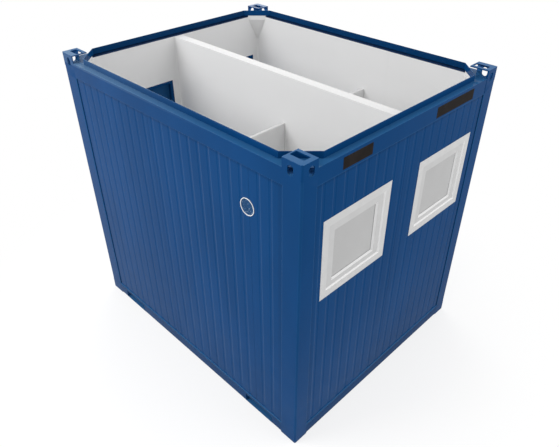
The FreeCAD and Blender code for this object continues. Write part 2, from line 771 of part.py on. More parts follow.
below = ("sill_top", "door_head")
for tag, along in (
    ("vent", (DOORS["1"] + " + door_wide", END_RUN[1])),
    ("middle", (DOORS["2"] + " + door_wide", DOORS["1"])),
    ("plain", (END_RUN[0], DOORS["2"])),
):
    node(slab("wall_door_end_" + tag, "door_end", along, WALL_DEEP, below),
         "wall_door_end_" + tag)
head = slab("wall_door_end_head_core", "door_end", END_RUN, WALL_DEEP,
            ("door_head", "wall_top"))
tools = corner_notches("wall_door_end_head_notch", ("door_vent", "door_plain"), HEAD_UP)
node(cut("wall_door_end_head", head, fuse("wall_door_end_head_tools", tools)),
     "wall_door_end_head")


def lever(tag, name, spot, outside):
    """One side's back plate, lock cylinder and lever, as loose pieces."""
    level = "handle_level"
    face = "leaf_front" if outside else "leaf_back"
    away = "-" if outside else "+"

    def reach(near, far):
        """A depth range between two distances from the leaf's face."""
        pair = ["( %s %s ( %s ) )" % (face, away, item) for item in (near, far)]
        return tuple(reversed(pair)) if outside else tuple(pair)

    arm = DOC.addObject("Part::Cylinder", name + "_arm")
    arm.setExpression("Radius", bind("lever_r"))
    arm.setExpression("Height", bind("lever_long"))
    put(arm, "door_end", spot, "%s %s lever_stand" % (face, away), level,
        Rotation(Vector(0, 1, 0), 90))
    elbow = DOC.addObject("Part::Sphere", name + "_elbow")
    elbow.setExpression("Radius", bind("lever_r"))
    put(elbow, "door_end", spot, "%s %s lever_stand" % (face, away), level)
    return [
        slab(name + "_plate", "door_end",
             (spot + " - plate_wide / 2", spot + " + plate_wide / 2"),
             reach("0", "plate_deep"),
             (level + " - plate_down", level + " + plate_up")),
        face_hole(name + "_neck", "door_end", spot, level, "lever_r",
                  reach("plate_deep / 2", "lever_stand")),
        face_hole(name + "_lock", "door_end", spot, level + " - lock_drop", "lock_r",
                  reach("plate_deep / 2", "lock_stand")),
        arm,
        elbow,
    ]


for tag, start in DOORS.items():
    name = "door_%s" % tag
    end = "( %s + door_wide )" % start
    frame = DOC.addObject("PartDesign::Body", name + "_casing")
    outer = ((start, "sill_top"), (end, "door_head"))

    def inner(inset, start=start, end=end):
        return (
            (start + " + " + inset, "floor_top + " + inset),
            (end + " - ( %s )" % inset, "door_head - ( %s )" % inset),
        )

    pad(frame, ring_sketch(frame, name + "_casing_ring", outer, inner("frame_face")),
        "wall_face - frame_front")
    pad(frame, ring_sketch(frame, name + "_stop_ring", outer, inner("frame_face + stop_wide")),
        "wall_face - leaf_back - stop_gap")
    put(frame, "door_end", "0", "wall_face", "0", OUTWARD)

    latch_edge = "( %s + frame_face + latch_gap )" % start
    hinge_edge = "( %s - frame_face - hinge_gap )" % end
    axis = "( %s + hinge_out )" % hinge_edge
    fixed, moving, bores = [frame], [], []
    for place, level in (
        ("low", "leaf_low + hinge_inset"),
        ("middle", "( leaf_low + leaf_high ) / 2"),
        ("high", "leaf_high - hinge_inset"),
    ):
        hinge = "%s_hinge_%s" % (name, place)
        lower = ("%s - knuckle_gap / 2 - knuckle_tall" % level, "%s - knuckle_gap / 2" % level)
        upper = ("%s + knuckle_gap / 2" % level, "%s + knuckle_gap / 2 + knuckle_tall" % level)

        def barrel(part, radius, up):
            piece = DOC.addObject("Part::Cylinder", hinge + part)
            piece.setExpression("Radius", bind(radius))
            piece.setExpression("Height", bind("( %s ) - ( %s )" % (up[1], up[0])))
            return put(piece, "door_end", axis, "hinge_front", up[0])

        fixed += [
            barrel("_fixed", "knuckle_r", lower),
            barrel("_pin", "pin_r", (lower[0], upper[1])),
            slab(hinge + "_arm", "door_end", (axis, axis + " + knuckle_r"),
                 ("hinge_front", "frame_front"), lower),
        ]
        moving += [
            barrel("_moving", "knuckle_r", upper),
            slab(hinge + "_plate", "door_end",
                 (axis + " - hinge_out - hinge_arm", axis),
                 ("leaf_front - hinge_plate", "leaf_front"), upper),
        ]
        bores.append(
            barrel("_bore", "pin_r + pin_play",
                   (upper[0] + " - knuckle_gap", upper[1] + " + knuckle_gap"))
        )
    node(fuse(name + "_frame", fixed), name + "_frame")

    panel = slab(name + "_panel", "door_end", (latch_edge, hinge_edge),
                 ("leaf_front", "leaf_back"), ("leaf_low", "leaf_high"))
    spot = "( %s + backset )" % latch_edge
    bores.append(
        face_hole(name + "_spindle_hole", "door_end", spot, "handle_level",
                  "spindle_r + pin_play", ("0", "leaf_back + leaf"))
    )
    node(cut(name + "_leaf", fuse(name + "_leaf_blank", [panel] + moving),
             fuse(name + "_bores", bores)), name + "_leaf")
    spindle = face_hole(
        name + "_spindle", "door_end", spot, "handle_level", "spindle_r",
        ("leaf_front - plate_deep", "leaf_back + plate_deep"),
    )
    node(
        fuse(name + "_handle",
             lever(tag, name + "_outside", spot, True)
             + lever(tag, name + "_inside", spot, False) + [spindle]),
        name + "_handle",
    )

# ------------------------------------------------------------------ write
DOC.recompute()
faults = [
    "%s: %s" % (item.Name, state)
    for item in DOC.Objects
    for state in item.State
    if state in ("Invalid", "Error")
]
for piece in NODES:
    shape = piece.Shape
    if shape.isNull() or not shape.isValid() or not shape.Solids or shape.Volume <= 0:
        faults.append(piece.Label + ": no valid solid")
labels = [piece.Label for piece in NODES]
if len(set(labels)) != len(labels):
    faults.append("two sub-parts share a label")
if faults:
    raise SystemExit("\n".join(faults))

os.makedirs("parts", exist_ok=True)
for piece in NODES:
    piece.Shape.exportStep(os.path.join("parts", piece.Label + ".step"))
    box = piece.Shape.BoundBox
    print(
        "%-26s %2d solids %9.4f l  x %8.1f..%8.1f y %8.1f..%8.1f z %7.1f..%7.1f"
        % (
            piece.Label, len(piece.Shape.Solids), piece.Shape.Volume / 1e6,
            box.XMin, box.XMax, box.YMin, box.YMax, box.ZMin, box.ZMax,
        )
    )
print("%d sub-parts, %.3f m3" % (len(NODES), sum(p.Shape.Volume for p in NODES) / 1e9))
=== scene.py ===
"""Toilet container: finishes, cladding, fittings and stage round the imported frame.

Every piece is made in the frame's own place, in metres: +Z up, +X towards the
window end, +Y away from the side with the vent.
"""

import json
import math
from functools import partial

import bmesh
import bpy
from bpy.props import FloatProperty, FloatVectorProperty, PointerProperty
from bpy.types import Operator, Panel, PropertyGroup
from mathutils import Matrix, Vector

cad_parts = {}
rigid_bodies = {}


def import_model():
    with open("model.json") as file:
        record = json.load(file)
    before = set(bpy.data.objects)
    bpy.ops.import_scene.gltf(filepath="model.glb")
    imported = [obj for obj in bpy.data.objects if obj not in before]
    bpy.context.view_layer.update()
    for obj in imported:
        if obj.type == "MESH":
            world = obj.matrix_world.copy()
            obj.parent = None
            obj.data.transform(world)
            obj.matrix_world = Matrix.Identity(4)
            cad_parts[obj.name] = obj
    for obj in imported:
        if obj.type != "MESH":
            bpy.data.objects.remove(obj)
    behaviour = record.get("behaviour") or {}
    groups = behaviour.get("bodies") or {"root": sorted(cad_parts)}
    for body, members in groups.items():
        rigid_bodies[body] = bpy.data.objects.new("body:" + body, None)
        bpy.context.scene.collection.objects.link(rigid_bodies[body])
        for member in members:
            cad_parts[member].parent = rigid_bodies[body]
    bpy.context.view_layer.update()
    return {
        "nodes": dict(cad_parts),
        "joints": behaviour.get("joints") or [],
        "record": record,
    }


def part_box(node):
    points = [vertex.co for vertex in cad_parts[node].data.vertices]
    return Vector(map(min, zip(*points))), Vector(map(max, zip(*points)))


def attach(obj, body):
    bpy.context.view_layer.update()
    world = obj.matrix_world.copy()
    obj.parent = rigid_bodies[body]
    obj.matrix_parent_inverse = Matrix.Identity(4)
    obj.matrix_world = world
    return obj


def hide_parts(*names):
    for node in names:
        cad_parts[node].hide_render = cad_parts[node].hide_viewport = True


bl_info = {
    "name": "Toilet container",
    "version": (1, 0, 0),
    "blender": (4, 5, 0),
    "location": "3D View > Sidebar > Container",
    "description": "Builds a steel-framed toilet container round its packed frame",
    "category": "Object",
}

for spare in list(bpy.data.objects):
    bpy.data.objects.remove(spare)
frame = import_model()

CORNERS = ("door_vent", "window_vent", "window_plain", "door_plain")
LONG_SIDES = ("vent_side", "plain_side")
SIDES = ("vent_side", "window_end", "plain_side", "door_end")
# Places that many pieces share, read from the frame. A depth is behind a side's outer face.
HALF_LONG, HALF_WIDE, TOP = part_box("top_fitting_window_plain")[1]
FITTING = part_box("post_window_plain")[0]
RAIL_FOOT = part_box("top_rail_vent_side")[0].z
SILL_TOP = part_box("bottom_rail_vent_side")[1].z
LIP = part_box("corner_plates")[0].z
WALL_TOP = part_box("partition")[1].z
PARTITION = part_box("partition")[1].y
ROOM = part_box("floor")[1]
CORE_DEPTH = HALF_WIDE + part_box("wall_vent_side")[0].y
WALL_DEPTH = HALF_WIDE - ROOM.y
CURB_BACK = HALF_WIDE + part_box("top_rail_vent_side")[1].y
STEEL = 0.004  # folded sheet of the posts and rails
NEAR = 0.0003  # closer than this counts as the same place
HAIR = 0.0004  # lap or gap between pieces that only touch
PLATE = 0.0024  # thickness of the sign plates, let into the rail


def srgb(red, green, blue):
    """A colour from 0-255 screen values, as Blender stores colours."""
    return tuple(
        (c / 255 / 12.92) if c <= 10 else ((c / 255 + 0.055) / 1.055) ** 2.4
        for c in (red, green, blue)
    )


# ------------------------------------------------------------------ settings
def length(name, description, default, low=0.0):
    """A size that a user may change."""
    return FloatProperty(
        name=name, description=description, default=default, min=low, unit="LENGTH"
    )


def colour(name, description, *levels):
    """A colour that a user may change."""
    return FloatVectorProperty(
        name=name, description=description, default=srgb(*levels),
        size=3, min=0, max=1, subtype="COLOR",
    )


class ContainerSizes(PropertyGroup):
    """Sizes of the parts that are made round the frame."""

    rib_pitch: length("Rib pitch", "One groove of the outer sheets to the next", 0.1163, 0.04)
    groove_wide: length("Groove width", "Width of a groove in the outer sheets", 0.036, 0.01)
    groove_deep: length("Groove depth", "Depth of a groove in the outer sheets", 0.0024, 0.0005)
    sheet_proud: length("Sheet proud", "Outer sheet in front of the wall core", 0.005, 0.001)
    sheet_thick: length("Sheet thickness", "Steel sheet of the walls", 0.0006, 0.0003)
    post_fold: length("Post fold", "Radius of the corner posts' outer fold", 0.018, 0.002)
    rail_fold: length("Rail fold", "Radius of the rails' folds", 0.006, 0.001)
    lip_fold: length("Lip fold", "Radius of the fold along the top rails' lip", 0.003, 0.0005)
    joint: length("Corner joint", "Gap between the outer sheets and the posts", 0.004, 0.002)
    casting_edge: length("Casting edge", "Rounding on the corner castings", 0.003, 0.0005)
    liner: length("Liner", "Thickness of the white inner sheets", 0.001, 0.0005)
    cove: length("Cove", "Radius of the cove strips in the room corners", 0.022, 0.005)
    skirting: length("Skirting", "Height of the turned-up floor edge", 0.1, 0.02)
    plate_edge: length("Plate corner", "Corner radius of the sign plates", 0.004, 0.0005)
    sash_back: length("Sash set back", "Window sash behind its place in the frame", 0.003)
    pane_back: length("Pane set back", "Window pane behind its place in the sash", 0.012)
    sash_foot: length("Sash foot", "Width of the sash below the pane", 0.054, 0.02)
    louvre_pitch: length("Louvre pitch", "One blade of the vent to the next", 0.0085, 0.004)


class ContainerColours(PropertyGroup):
    """Colours of the finishes."""

    blue: colour("Blue paint", "Steel frame, sheets and doors", 9, 62, 112)
    # Painted light: laid on up-facing faces and on marked edges as painted highlights.
    painted_light_blue: colour("Painted highlight blue", "The same paint where it faces the sky", 42, 91, 137)
    white: colour("White sheet", "Inner walls", 229, 229, 229)
    # Painted shade: laid on the up-facing tops of the inner walls.
    cap: colour("White caps", "Top edges of the inner walls", 213, 213, 213)
    plastic: colour("White plastic", "Window frames and vent ring", 204, 204, 204)
    glass: colour("Obscured glass", "Window panes", 184, 184, 184)
    grille: colour("Vent blades", "Blades in the vent", 36, 78, 122)
    floor: colour("Floor sheet", "Floor covering", 168, 170, 172)
    primer: colour("Primer", "Members under the floor", 66, 71, 78)
    plate: colour("Sign plates", "Bare plates on the rail", 36, 32, 30)
    rubber: colour("Rubber", "Door seals", 28, 29, 31)
    tape: colour("Sealing tape", "On top of the wall panels", 24, 46, 80)
    gasket: colour("Gaskets", "Round the window panes", 128, 129, 130)


def tone(name, factor=1.0):
    """One of the chosen colours, made lighter or darker."""
    chosen = getattr(bpy.context.scene.container_colours, name)
    return tuple(min(1.0, c * factor) for c in chosen)


# ------------------------------------------------------------- node trees
def maths(operation, swapped=False):
    """A method that puts the signal and what it is given through a Math node."""
    def method(self, *given):
        terms = (*given, self) if swapped else (self, *given)
        return self.kit.node("ShaderNodeMath", dict(enumerate(terms)), operation=operation)
    return method


class Signal:
    """A number in a node tree: sums written on it add their Math nodes."""

    def __init__(self, kit, node, output=0):
        self.kit, self.node = kit, node
        found = [o for o in node.outputs if output in (o.identifier, o.name)]
        self.socket = found[0] if found else node.outputs[output]

    def out(self, output):
        """Another output of the same node."""
        return Signal(self.kit, self.node, output)

    __add__, __radd__ = maths("ADD"), maths("ADD", swapped=True)
    __sub__, __rsub__ = maths("SUBTRACT"), maths("SUBTRACT", swapped=True)
    __mul__, __rmul__ = maths("MULTIPLY"), maths("MULTIPLY", swapped=True)
    __truediv__, __rtruediv__ = maths("DIVIDE"), maths("DIVIDE", swapped=True)
    __pow__, __rpow__ = maths("POWER"), maths("POWER", swapped=True)
    __mod__, __rmod__ = maths("MODULO"), maths("MODULO", swapped=True)
    __gt__, __lt__ = maths("GREATER_THAN"), maths("LESS_THAN")
    __abs__, whole = maths("ABSOLUTE"), maths("FLOOR")
    least, most = maths("MINIMUM"), maths("MAXIMUM")


class Kit:
    """Adds nodes to one tree, each by its type, its inputs and its settings."""

    def __init__(self, tree):
        self.tree = tree
        tree.nodes.clear()

    def node(self, kind, inputs=None, output=0, **settings):
        """Makes a node; its settings go in first, then its inputs' values or links."""
        made = self.tree.nodes.new(kind)
        for name, value in settings.items():
            setattr(made, name, value)
        for name, value in (inputs or {}).items():
            self.plug(made, name, value)
        return Signal(self, made, output) if made.outputs else None

    def plug(self, made, name, value):
        """Links a signal to an input, or sets the input's own value."""
        if isinstance(name, int):
            socket = made.inputs[name]
        else:
            socket = next(i for i in made.inputs if name in (i.identifier, i.name))
        if isinstance(value, Signal):
            self.tree.links.new(value.socket, socket)
        elif socket.type == "RGBA":
            socket.default_value = (*value, 1.0)
        else:
            socket.default_value = value

    def vector(self, **parts):
        """A vector from the parts that are given, X, Y or Z."""
        return self.node("ShaderNodeCombineXYZ", parts)

    def smooth(self, value, start, end, low=0.0, high=1.0):
        """Runs smoothly from low to high as value goes from start to end."""
        return self.node("ShaderNodeMapRange", {
            "Value": value, "From Min": start, "From Max": end, "To Min": low, "To Max": high,
        }, interpolation_type="SMOOTHSTEP")

    def tint(self, amount, first, second):
        """First colour, going over to the second by amount."""
        return self.node("ShaderNodeMix", {
            "Factor_Float": amount, "A_Color": first, "B_Color": second,
        }, "Result_Color", data_type="RGBA")


def socket_name(key):
    """A shader input's name from a keyword, such as Specular IOR Level."""
    return key.replace("_", " ").title().replace("Ior", "IOR")


class Finish(Kit):
    """One material: a Principled shader, with what varies linked to it."""

    def __init__(self, name, **fixed):
        self.material = bpy.data.materials.new(name)
        self.material.use_nodes = True
        super().__init__(self.material.node_tree)
        fixed.setdefault("ior", 1.45)
        self.shader = self.node("ShaderNodeBsdfPrincipled", {
            socket_name(key): value for key, value in fixed.items()
        })
        self.node("ShaderNodeOutputMaterial", {"Surface": self.shader})
        self.place = self.node("ShaderNodeTexCoord", None, "Object")
        self.x, self.y, self.z = self.parts(self.place)

    def parts(self, vector):
        """The X, Y and Z of a vector."""
        split = self.node("ShaderNodeSeparateXYZ", {0: vector})
        return split.out("X"), split.out("Y"), split.out("Z")

    def sky(self):
        """1 on a face that looks up, 0 on an upright one."""
        return self.smooth(self.parts(self.place.out("Normal"))[2], 0.35, 0.9)

    def mark(self, name):
        """How strongly a face was marked when it was made, such as for an edge."""
        return self.node("ShaderNodeAttribute", None, "Fac", attribute_name=name)

    def noise(self, scale, detail, stretched=None):
        """Soft noise, its directions scaled apart where it is stretched."""
        place = self.place
        if stretched:
            place = self.node("ShaderNodeMapping", {"Vector": place, "Scale": stretched})
        return self.node("ShaderNodeTexNoise", {
            "Vector": place, "Scale": scale, "Detail": detail,
        })

    def cells(self, scale):
        """Distance from the middles of scattered cells."""
        return self.node("ShaderNodeTexVoronoi", {"Vector": self.place, "Scale": scale})

    def flecks(self, scale):
        """One random level for each scattered cell."""
        return self.node("ShaderNodeSeparateColor", {0: self.cells(scale).out("Color")})

    def ground(self, value, start, end, first, second):
        """The colour under the others: first to second as value goes from start to end."""
        self.base = self.tint(self.smooth(value, start, end), first, second)

    def glaze(self, amount, colour_over):
        """Lays a colour over what is there, by amount."""
        self.base = self.tint(amount, self.base, colour_over)

    def skin(self, roughness, height, distance, strength=1.0, **varying):
        """Links colour, roughness and a bump of that many metres from a 0-1 height."""
        normal = self.node("ShaderNodeBump", {
            "Strength": strength, "Distance": distance, "Height": height,
        }, "Normal")
        varying.update(base_color=self.base, roughness=roughness, normal=normal)
        for key, value in varying.items():
            self.plug(self.shader.node, socket_name(key), value)
        return self.material


# --------------------------------------------------------------- finishes
def blue_paint(name, rolled=False, fill_lit=False):
    """Satin blue on steel: soft clouding, orange peel; painted light on up-facing faces and marked
    edges, painted shade on marked faces.
    """
    coat = Finish(name, specular_ior_level=0.045)
    cloud = coat.noise(1.7, 3, (1, 1, 0.45))
    coat.ground(cloud, 0.35, 0.68, tone("blue", 0.94), tone("blue", 1.07))
    if rolled:
        lines = coat.noise(46, 2, (1, 1, 0.012))
        coat.glaze(coat.smooth(lines, 0.3, 0.75) * 0.25, tone("blue", 1.16))
    # Painted light on faces that look up.
    coat.glaze(coat.sky() * 0.85, tone("painted_light_blue"))
    # Painted highlights along the marked edges.
    coat.glaze(coat.mark("edge") * 0.5, tone("painted_light_blue"))
    # Painted shade on faces marked as in shade.
    coat.glaze(coat.mark("shelter") * 0.5, tone("blue", 0.45))
    if fill_lit:
        # Painted light: marked inside faces are paler, as if lit.
        coat.glaze(coat.mark("dust"), srgb(62, 122, 186))
    if rolled:
        # Painted shade just under the top rail.
        under_rail_shade = coat.smooth(coat.z, RAIL_FOOT - 0.034, RAIL_FOOT - 0.014)
        coat.glaze(under_rail_shade * 0.3, tone("blue", 0.5))
        # Painted shade beside the posts.
        for across, post in ((coat.x, FITTING.x), (coat.y, FITTING.y)):
            post_shade = coat.smooth(abs(across), post - 0.055, post - 0.025)
            coat.glaze(post_shade * (abs(across) < post + 0.01) * 0.16, tone("blue", 0.5))
    else:
        # Painted sheen: the vent side's top rail is paler towards the door end, more where it
        # faces the sky.
        painted_sheen = coat.smooth(coat.x, 0.9, -1.3) * (coat.y < -1.14) * (coat.z > 2.73)
        coat.glaze(painted_sheen * (0.2 + coat.sky() * 0.35), srgb(104, 132, 160))
    # Paler in patches towards the bottom: dust from the ground, and a painted reflection of the
    # pale floor.
    low_dust_and_sheen = coat.smooth(coat.z, 1.5, 0.05) * coat.smooth(coat.noise(5.5, 4), 0.2, 0.85)
    coat.glaze(low_dust_and_sheen * 0.025, srgb(148, 158, 166))
    return coat.skin(coat.smooth(cloud, 0.3, 0.7, 0.13, 0.19), coat.noise(620, 1), 0.00003)


def white_sheet(name):
    """Coated inner sheet: faint stucco grain, a hint of handling; painted light and shade: whiter
    low down, greyer near the top and on up-facing tops, lighter on marked faces.
    """
    coat = Finish(name, specular_ior_level=0.2)
    cloud = coat.noise(1.1, 3)
    # Painted light and shade: whiter low in the rooms, greyer near the wall tops, to even out the
    # shade down in the rooms.
    coat.ground(coat.z, 1.5, WALL_TOP, tone("white", 1.2), tone("white", 0.95))
    coat.glaze(coat.smooth(cloud, 0.35, 0.7) * 0.15, tone("white", 0.9))
    # Painted shade: up-facing tops take the darker white.
    coat.glaze(coat.sky(), tone("cap"))
    scuff = coat.smooth(coat.z, ROOM.z + 0.9, ROOM.z)
    smudge = coat.smooth(coat.noise(9, 4, (3, 3, 1)), 0.5, 0.8)
    coat.glaze(scuff * smudge * 0.12, srgb(160, 158, 152))
    # Painted light: marked faces are whiter.
    coat.glaze(coat.mark("edge"), tone("white", 1.3))
    return coat.skin(coat.smooth(cloud, 0.3, 0.7, 0.48, 0.56), coat.cells(340), 0.00006)


def obscured_glass(name):
    """Patterned pane: small rounded dimples over a milky body."""
    coat = Finish(name, ior=1.5, specular_ior_level=0.5, coat_weight=0.25,
                  coat_roughness=0.08)
    dimples = coat.cells(210)
    coat.ground(coat.noise(3.2, 2), 0.3, 0.7, tone("glass", 0.95), tone("glass"))
    coat.glaze(coat.smooth(dimples, 0.2, 0.7) * 0.1, tone("glass", 0.8))
    return coat.skin(coat.smooth(dimples, 0.0, 0.8, 0.22, 0.42),
                     coat.smooth(dimples, 0.0, 0.75), 0.0004, 0.6)


def floor_sheet(name):
    """Welded sheet flooring: fine chips of three greys, slip-resistant grain."""
    coat = Finish(name, ior=1.46, specular_ior_level=0.35)
    fleck = coat.flecks(330)
    coat.base = tone("floor")
    coat.glaze(fleck > 0.78, tone("floor", 1.35))
    coat.glaze(fleck < 0.2, tone("floor", 0.6))
    lightened = coat.smooth(coat.noise(1.6, 4), 0.4, 0.75)
    coat.glaze(lightened * 0.2, tone("floor", 1.15))
    return coat.skin(coat.smooth(lightened, 0, 1, 0.62, 0.48), coat.noise(420, 2), 0.00025)


def zinc(name):
    """Galvanised steel: angular spangles of slightly different greys."""
    coat = Finish(name, ior=1.6)
    fleck = coat.flecks(120)
    coat.base = coat.tint(fleck, srgb(150, 154, 158), srgb(192, 195, 198))
    return coat.skin(coat.smooth(fleck, 0, 1, 0.34, 0.5), fleck, 0.00003,
                     metallic=coat.smooth(fleck, 0, 1, 0.75, 0.9))


def brushed_metal(name):
    """Stainless levers and plates, brushed along the plate."""
    coat = Finish(name, ior=1.6, metallic=0.95)
    lines = coat.noise(1.0, 2, (900, 900, 14))
    coat.base = coat.tint(lines, srgb(168, 169, 170), srgb(208, 209, 210))
    return coat.skin(coat.smooth(lines, 0.3, 0.7, 0.26, 0.4), lines, 0.00001)


def wall_core(name):
    """Cut edge of a sandwich panel: mineral wool between blue and white sheets."""
    coat = Finish(name, specular_ior_level=0.2)
    fibre = coat.noise(70, 5, (1, 1, 6))
    coat.ground(fibre, 0.3, 0.7, srgb(18, 30, 46), srgb(34, 48, 66))
    return coat.skin(coat.smooth(fibre, 0.3, 0.7, 0.7, 0.9), fibre, 0.0008)


def clouded(name, hue, shades, cloud, spread, rough, grain, deep, level, ior=1.45, over=None):
    """A finish between two shades of a hue, with a fine grain; over() lays on the rest."""
    coat = Finish(name, ior=ior, specular_ior_level=level)
    drift = coat.noise(*cloud)
    coat.ground(drift, *spread, *(tone(hue, factor) for factor in shades))
    if over:
        over(coat)
    return coat.skin(coat.smooth(drift, 0.3, 0.7, *rough), coat.noise(*grain), deep)


def highlit_shaded_grimed(coat):
    """Painted highlights on marked edges, painted shade on marked faces, and grime where plastic
    sees the sky.
    """
    # Painted highlight on marked edges.
    coat.glaze(coat.mark("edge"), srgb(238, 238, 238))
    # Painted shade on marked faces.
    coat.glaze(coat.mark("shelter") * 0.14, tone("plastic", 0.4))
    grime = coat.smooth(coat.noise(60, 3), 0.55, 0.8) * coat.sky()
    coat.glaze(grime * 0.18, srgb(170, 168, 160))


def road_dust(coat):
    """Brown road dirt in patches."""
    coat.glaze(coat.smooth(coat.noise(34, 5), 0.6, 0.75) * 0.4, srgb(96, 74, 58))


def bare_edges(coat):
    """Enamel rubbed thin along the edges."""
    coat.glaze(coat.mark("edge") * 0.5, srgb(96, 94, 90))


def pale_specks(coat):
    """Small pale specks."""
    coat.glaze(coat.smooth(coat.cells(75), 0.32, 0.16) * 0.55, srgb(170, 190, 205))


soft_strip = partial(
    clouded, shades=(1, 1.3), cloud=(30, 4), spread=(0.4, 0.8), rough=(0.6, 0.8),
    grain=(500, 2), deep=0.00008, level=0.05)
RECIPES = {
    "frame_paint": blue_paint,
    "sheet_paint": partial(blue_paint, rolled=True),
    "casting_paint": partial(blue_paint, fill_lit=True),
    "white_sheet": white_sheet,
    "obscured_glass": obscured_glass,
    "floor_sheet": floor_sheet,
    "zinc": zinc,
    "brushed_metal": brushed_metal,
    "wall_core": wall_core,
    "sealing_tape": partial(soft_strip, hue="tape"),
    "glazing_gasket": partial(soft_strip, hue="gasket"),
    "white_plastic": partial(
        clouded, hue="plastic", shades=(0.96, 1), cloud=(14, 3), spread=(0.35, 0.7),
        rough=(0.3, 0.4), grain=(900, 1), deep=0.00002, level=0.4, ior=1.46, over=highlit_shaded_grimed),
    "primed_steel": partial(
        clouded, hue="primer", shades=(0.8, 1.25), cloud=(7, 5), spread=(0.35, 0.7),
        rough=(0.55, 0.75), grain=(260, 3), deep=0.00015, level=0.3, over=road_dust),
    "sign_enamel": partial(
        clouded, hue="plate", shades=(0.85, 1.2), cloud=(11, 3), spread=(0.35, 0.7),
        rough=(0.5, 0.62), grain=(1100, 2), deep=0.00004, level=0.04, over=bare_edges),
    "vent_plastic": partial(
        clouded, hue="grille", shades=(0.85, 1.15), cloud=(40, 3), spread=(0.3, 0.75),
        rough=(0.4, 0.55), grain=(800, 1), deep=0.00003, level=0.08, ior=1.46,
        over=pale_specks),
    "rubber": partial(
        clouded, hue="rubber", shades=(1, 2.2), cloud=(45, 4), spread=(0.4, 0.8),
        rough=(0.6, 0.8), grain=(700, 2), deep=0.00005, level=0.3, ior=1.5),
}
FINISHES = {}


def finish(name):
    """The finish of that name, made when it is first asked for."""
    if name not in FINISHES:
        FINISHES[name] = RECIPES[name](name)
    return FINISHES[name]


def recoat(node, name):
    """Gives a CAD node a better material; its mesh stays as it is."""
    for holder in frame["nodes"][node].material_slots:
        holder.material = finish(name)


# ---------------------------------------------------------------- shaping
def facing(side):
    """Turns (along, depth inward, up) on a side's outer face into the frame."""
    along, inward, out = {
        "vent_side": ((1, 0, 0), (0, 1, 0), HALF_WIDE),
        "window_end": ((0, 1, 0), (-1, 0, 0), HALF_LONG),
        "plain_side": ((-1, 0, 0), (0, -1, 0), HALF_WIDE),
        "door_end": ((0, -1, 0), (1, 0, 0), HALF_LONG),
    }[side]
    columns = [Vector(along), Vector(inward), Vector((0, 0, 1)), -out * Vector(inward)]
    return Matrix([[c[row] for c in columns] for row in range(3)] + [[0, 0, 0, 1]])


def on_side(side, node):
    """A node's (low, high) corners as along, depth and up on a side."""
    back = facing(side).inverted()
    ends = [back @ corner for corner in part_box(node)]
    return Vector(map(min, *ends)), Vector(map(max, *ends))


def block(bm, low, high):
    """A box between two corners."""
    for vert in bmesh.ops.create_cube(bm, size=1.0)["verts"]:
        vert.co = [l + (h - l) * (c + 0.5) for l, h, c in zip(low, high, vert.co)]


def loops(bm, rings, capped=True):
    """Skins a row of equal rings of points; the ends are capped or joined."""
    rows = [[bm.verts.new(point) for point in ring] for ring in rings]
    count = len(rows[0])
    for first, second in zip(rows, rows[1:] if capped else rows[1:] + rows[:1]):
        for i in range(count):
            j = (i + 1) % count
            bm.faces.new((first[i], first[j], second[j], second[i]))
    if capped:
        bm.faces.new(rows[0])
        bm.faces.new(list(reversed(rows[-1])))


def mitred(bm, profile, low, high):
    """A closed profile of (inset, depth) points run round a rectangle."""
    (u0, z0), (u1, z1) = low, high
    loops(bm, [
        [(u + su * inset, depth, z + sz * inset) for inset, depth in profile]
        for u, z, su, sz in ((u0, z0, 1, 1), (u1, z0, -1, 1), (u1, z1, -1, -1), (u0, z1, 1, -1))
    ], capped=False)


def spun(profile, centre, steps):
    """A row of points for each step as (radius, depth) points go round a centre."""
    turns = [2 * math.pi * i / steps for i in range(steps)]
    return [
        [(centre.x + radius * math.cos(a), depth, centre.z + radius * math.sin(a))
         for radius, depth in profile] for a in turns
    ]


def turned(bm, profile, centre, steps=64):
    """A ring with a closed profile of (radius, depth) points."""
    loops(bm, spun(profile, centre, steps), capped=False)


def bar(bm, profile, centre, steps):
    """A round bar through (radius, depth) points."""
    loops(bm, list(zip(*spun(profile, centre, steps))))


def arc(centre, radius, start, end, steps=5):
    """Points on an arc, angles in degrees."""
    turns = [math.radians(start + (end - start) * i / steps) for i in range(steps + 1)]
    return [(centre[0] + radius * math.cos(a), centre[1] + radius * math.sin(a)) for a in turns]


def marked(bm, name, chosen, amount=1.0):
    """Marks the faces that chosen() accepts, for their finish."""
    layer = bm.faces.layers.float.get(name) or bm.faces.layers.float.new(name)
    for face in bm.faces:
        if chosen(face):
            face[layer] = amount


def soften(bm, radius, chosen=None, segments=3, mark=0.0, least=30):
    """Rounds the sharp edges that chosen() accepts, and marks the new faces."""
    bmesh.ops.recalc_face_normals(bm, faces=bm.faces)
    layer = bm.faces.layers.float.get("edge") or bm.faces.layers.float.new("edge")
    sharp = [
        e for e in bm.edges
        if len(e.link_faces) == 2 and e.calc_face_angle(0) > math.radians(least)
        and (chosen is None or chosen(e))
    ]
    if not sharp:
        raise RuntimeError("no edge was found to round")
    made = bmesh.ops.bevel(
        bm, geom=sharp, offset=radius, segments=segments, profile=0.5, affect="EDGES",
        clamp_overlap=True, miter_outer="SHARP",
    )
    for face in made["faces"]:
        face[layer] = max(face[layer], mark)


def copied(node):
    """A CAD node's mesh, with its loose triangles merged."""
    bm = bmesh.new()
    bm.from_mesh(frame["nodes"][node].data)
    bmesh.ops.remove_doubles(bm, verts=bm.verts, dist=0.00002)
    bmesh.ops.dissolve_limit(bm, angle_limit=math.radians(1), verts=bm.verts, edges=bm.edges)
    return bm


def depths(point):
    """How far a point is behind the end faces and behind the long faces."""
    return HALF_LONG - abs(point.x), HALF_WIDE - abs(point.y)


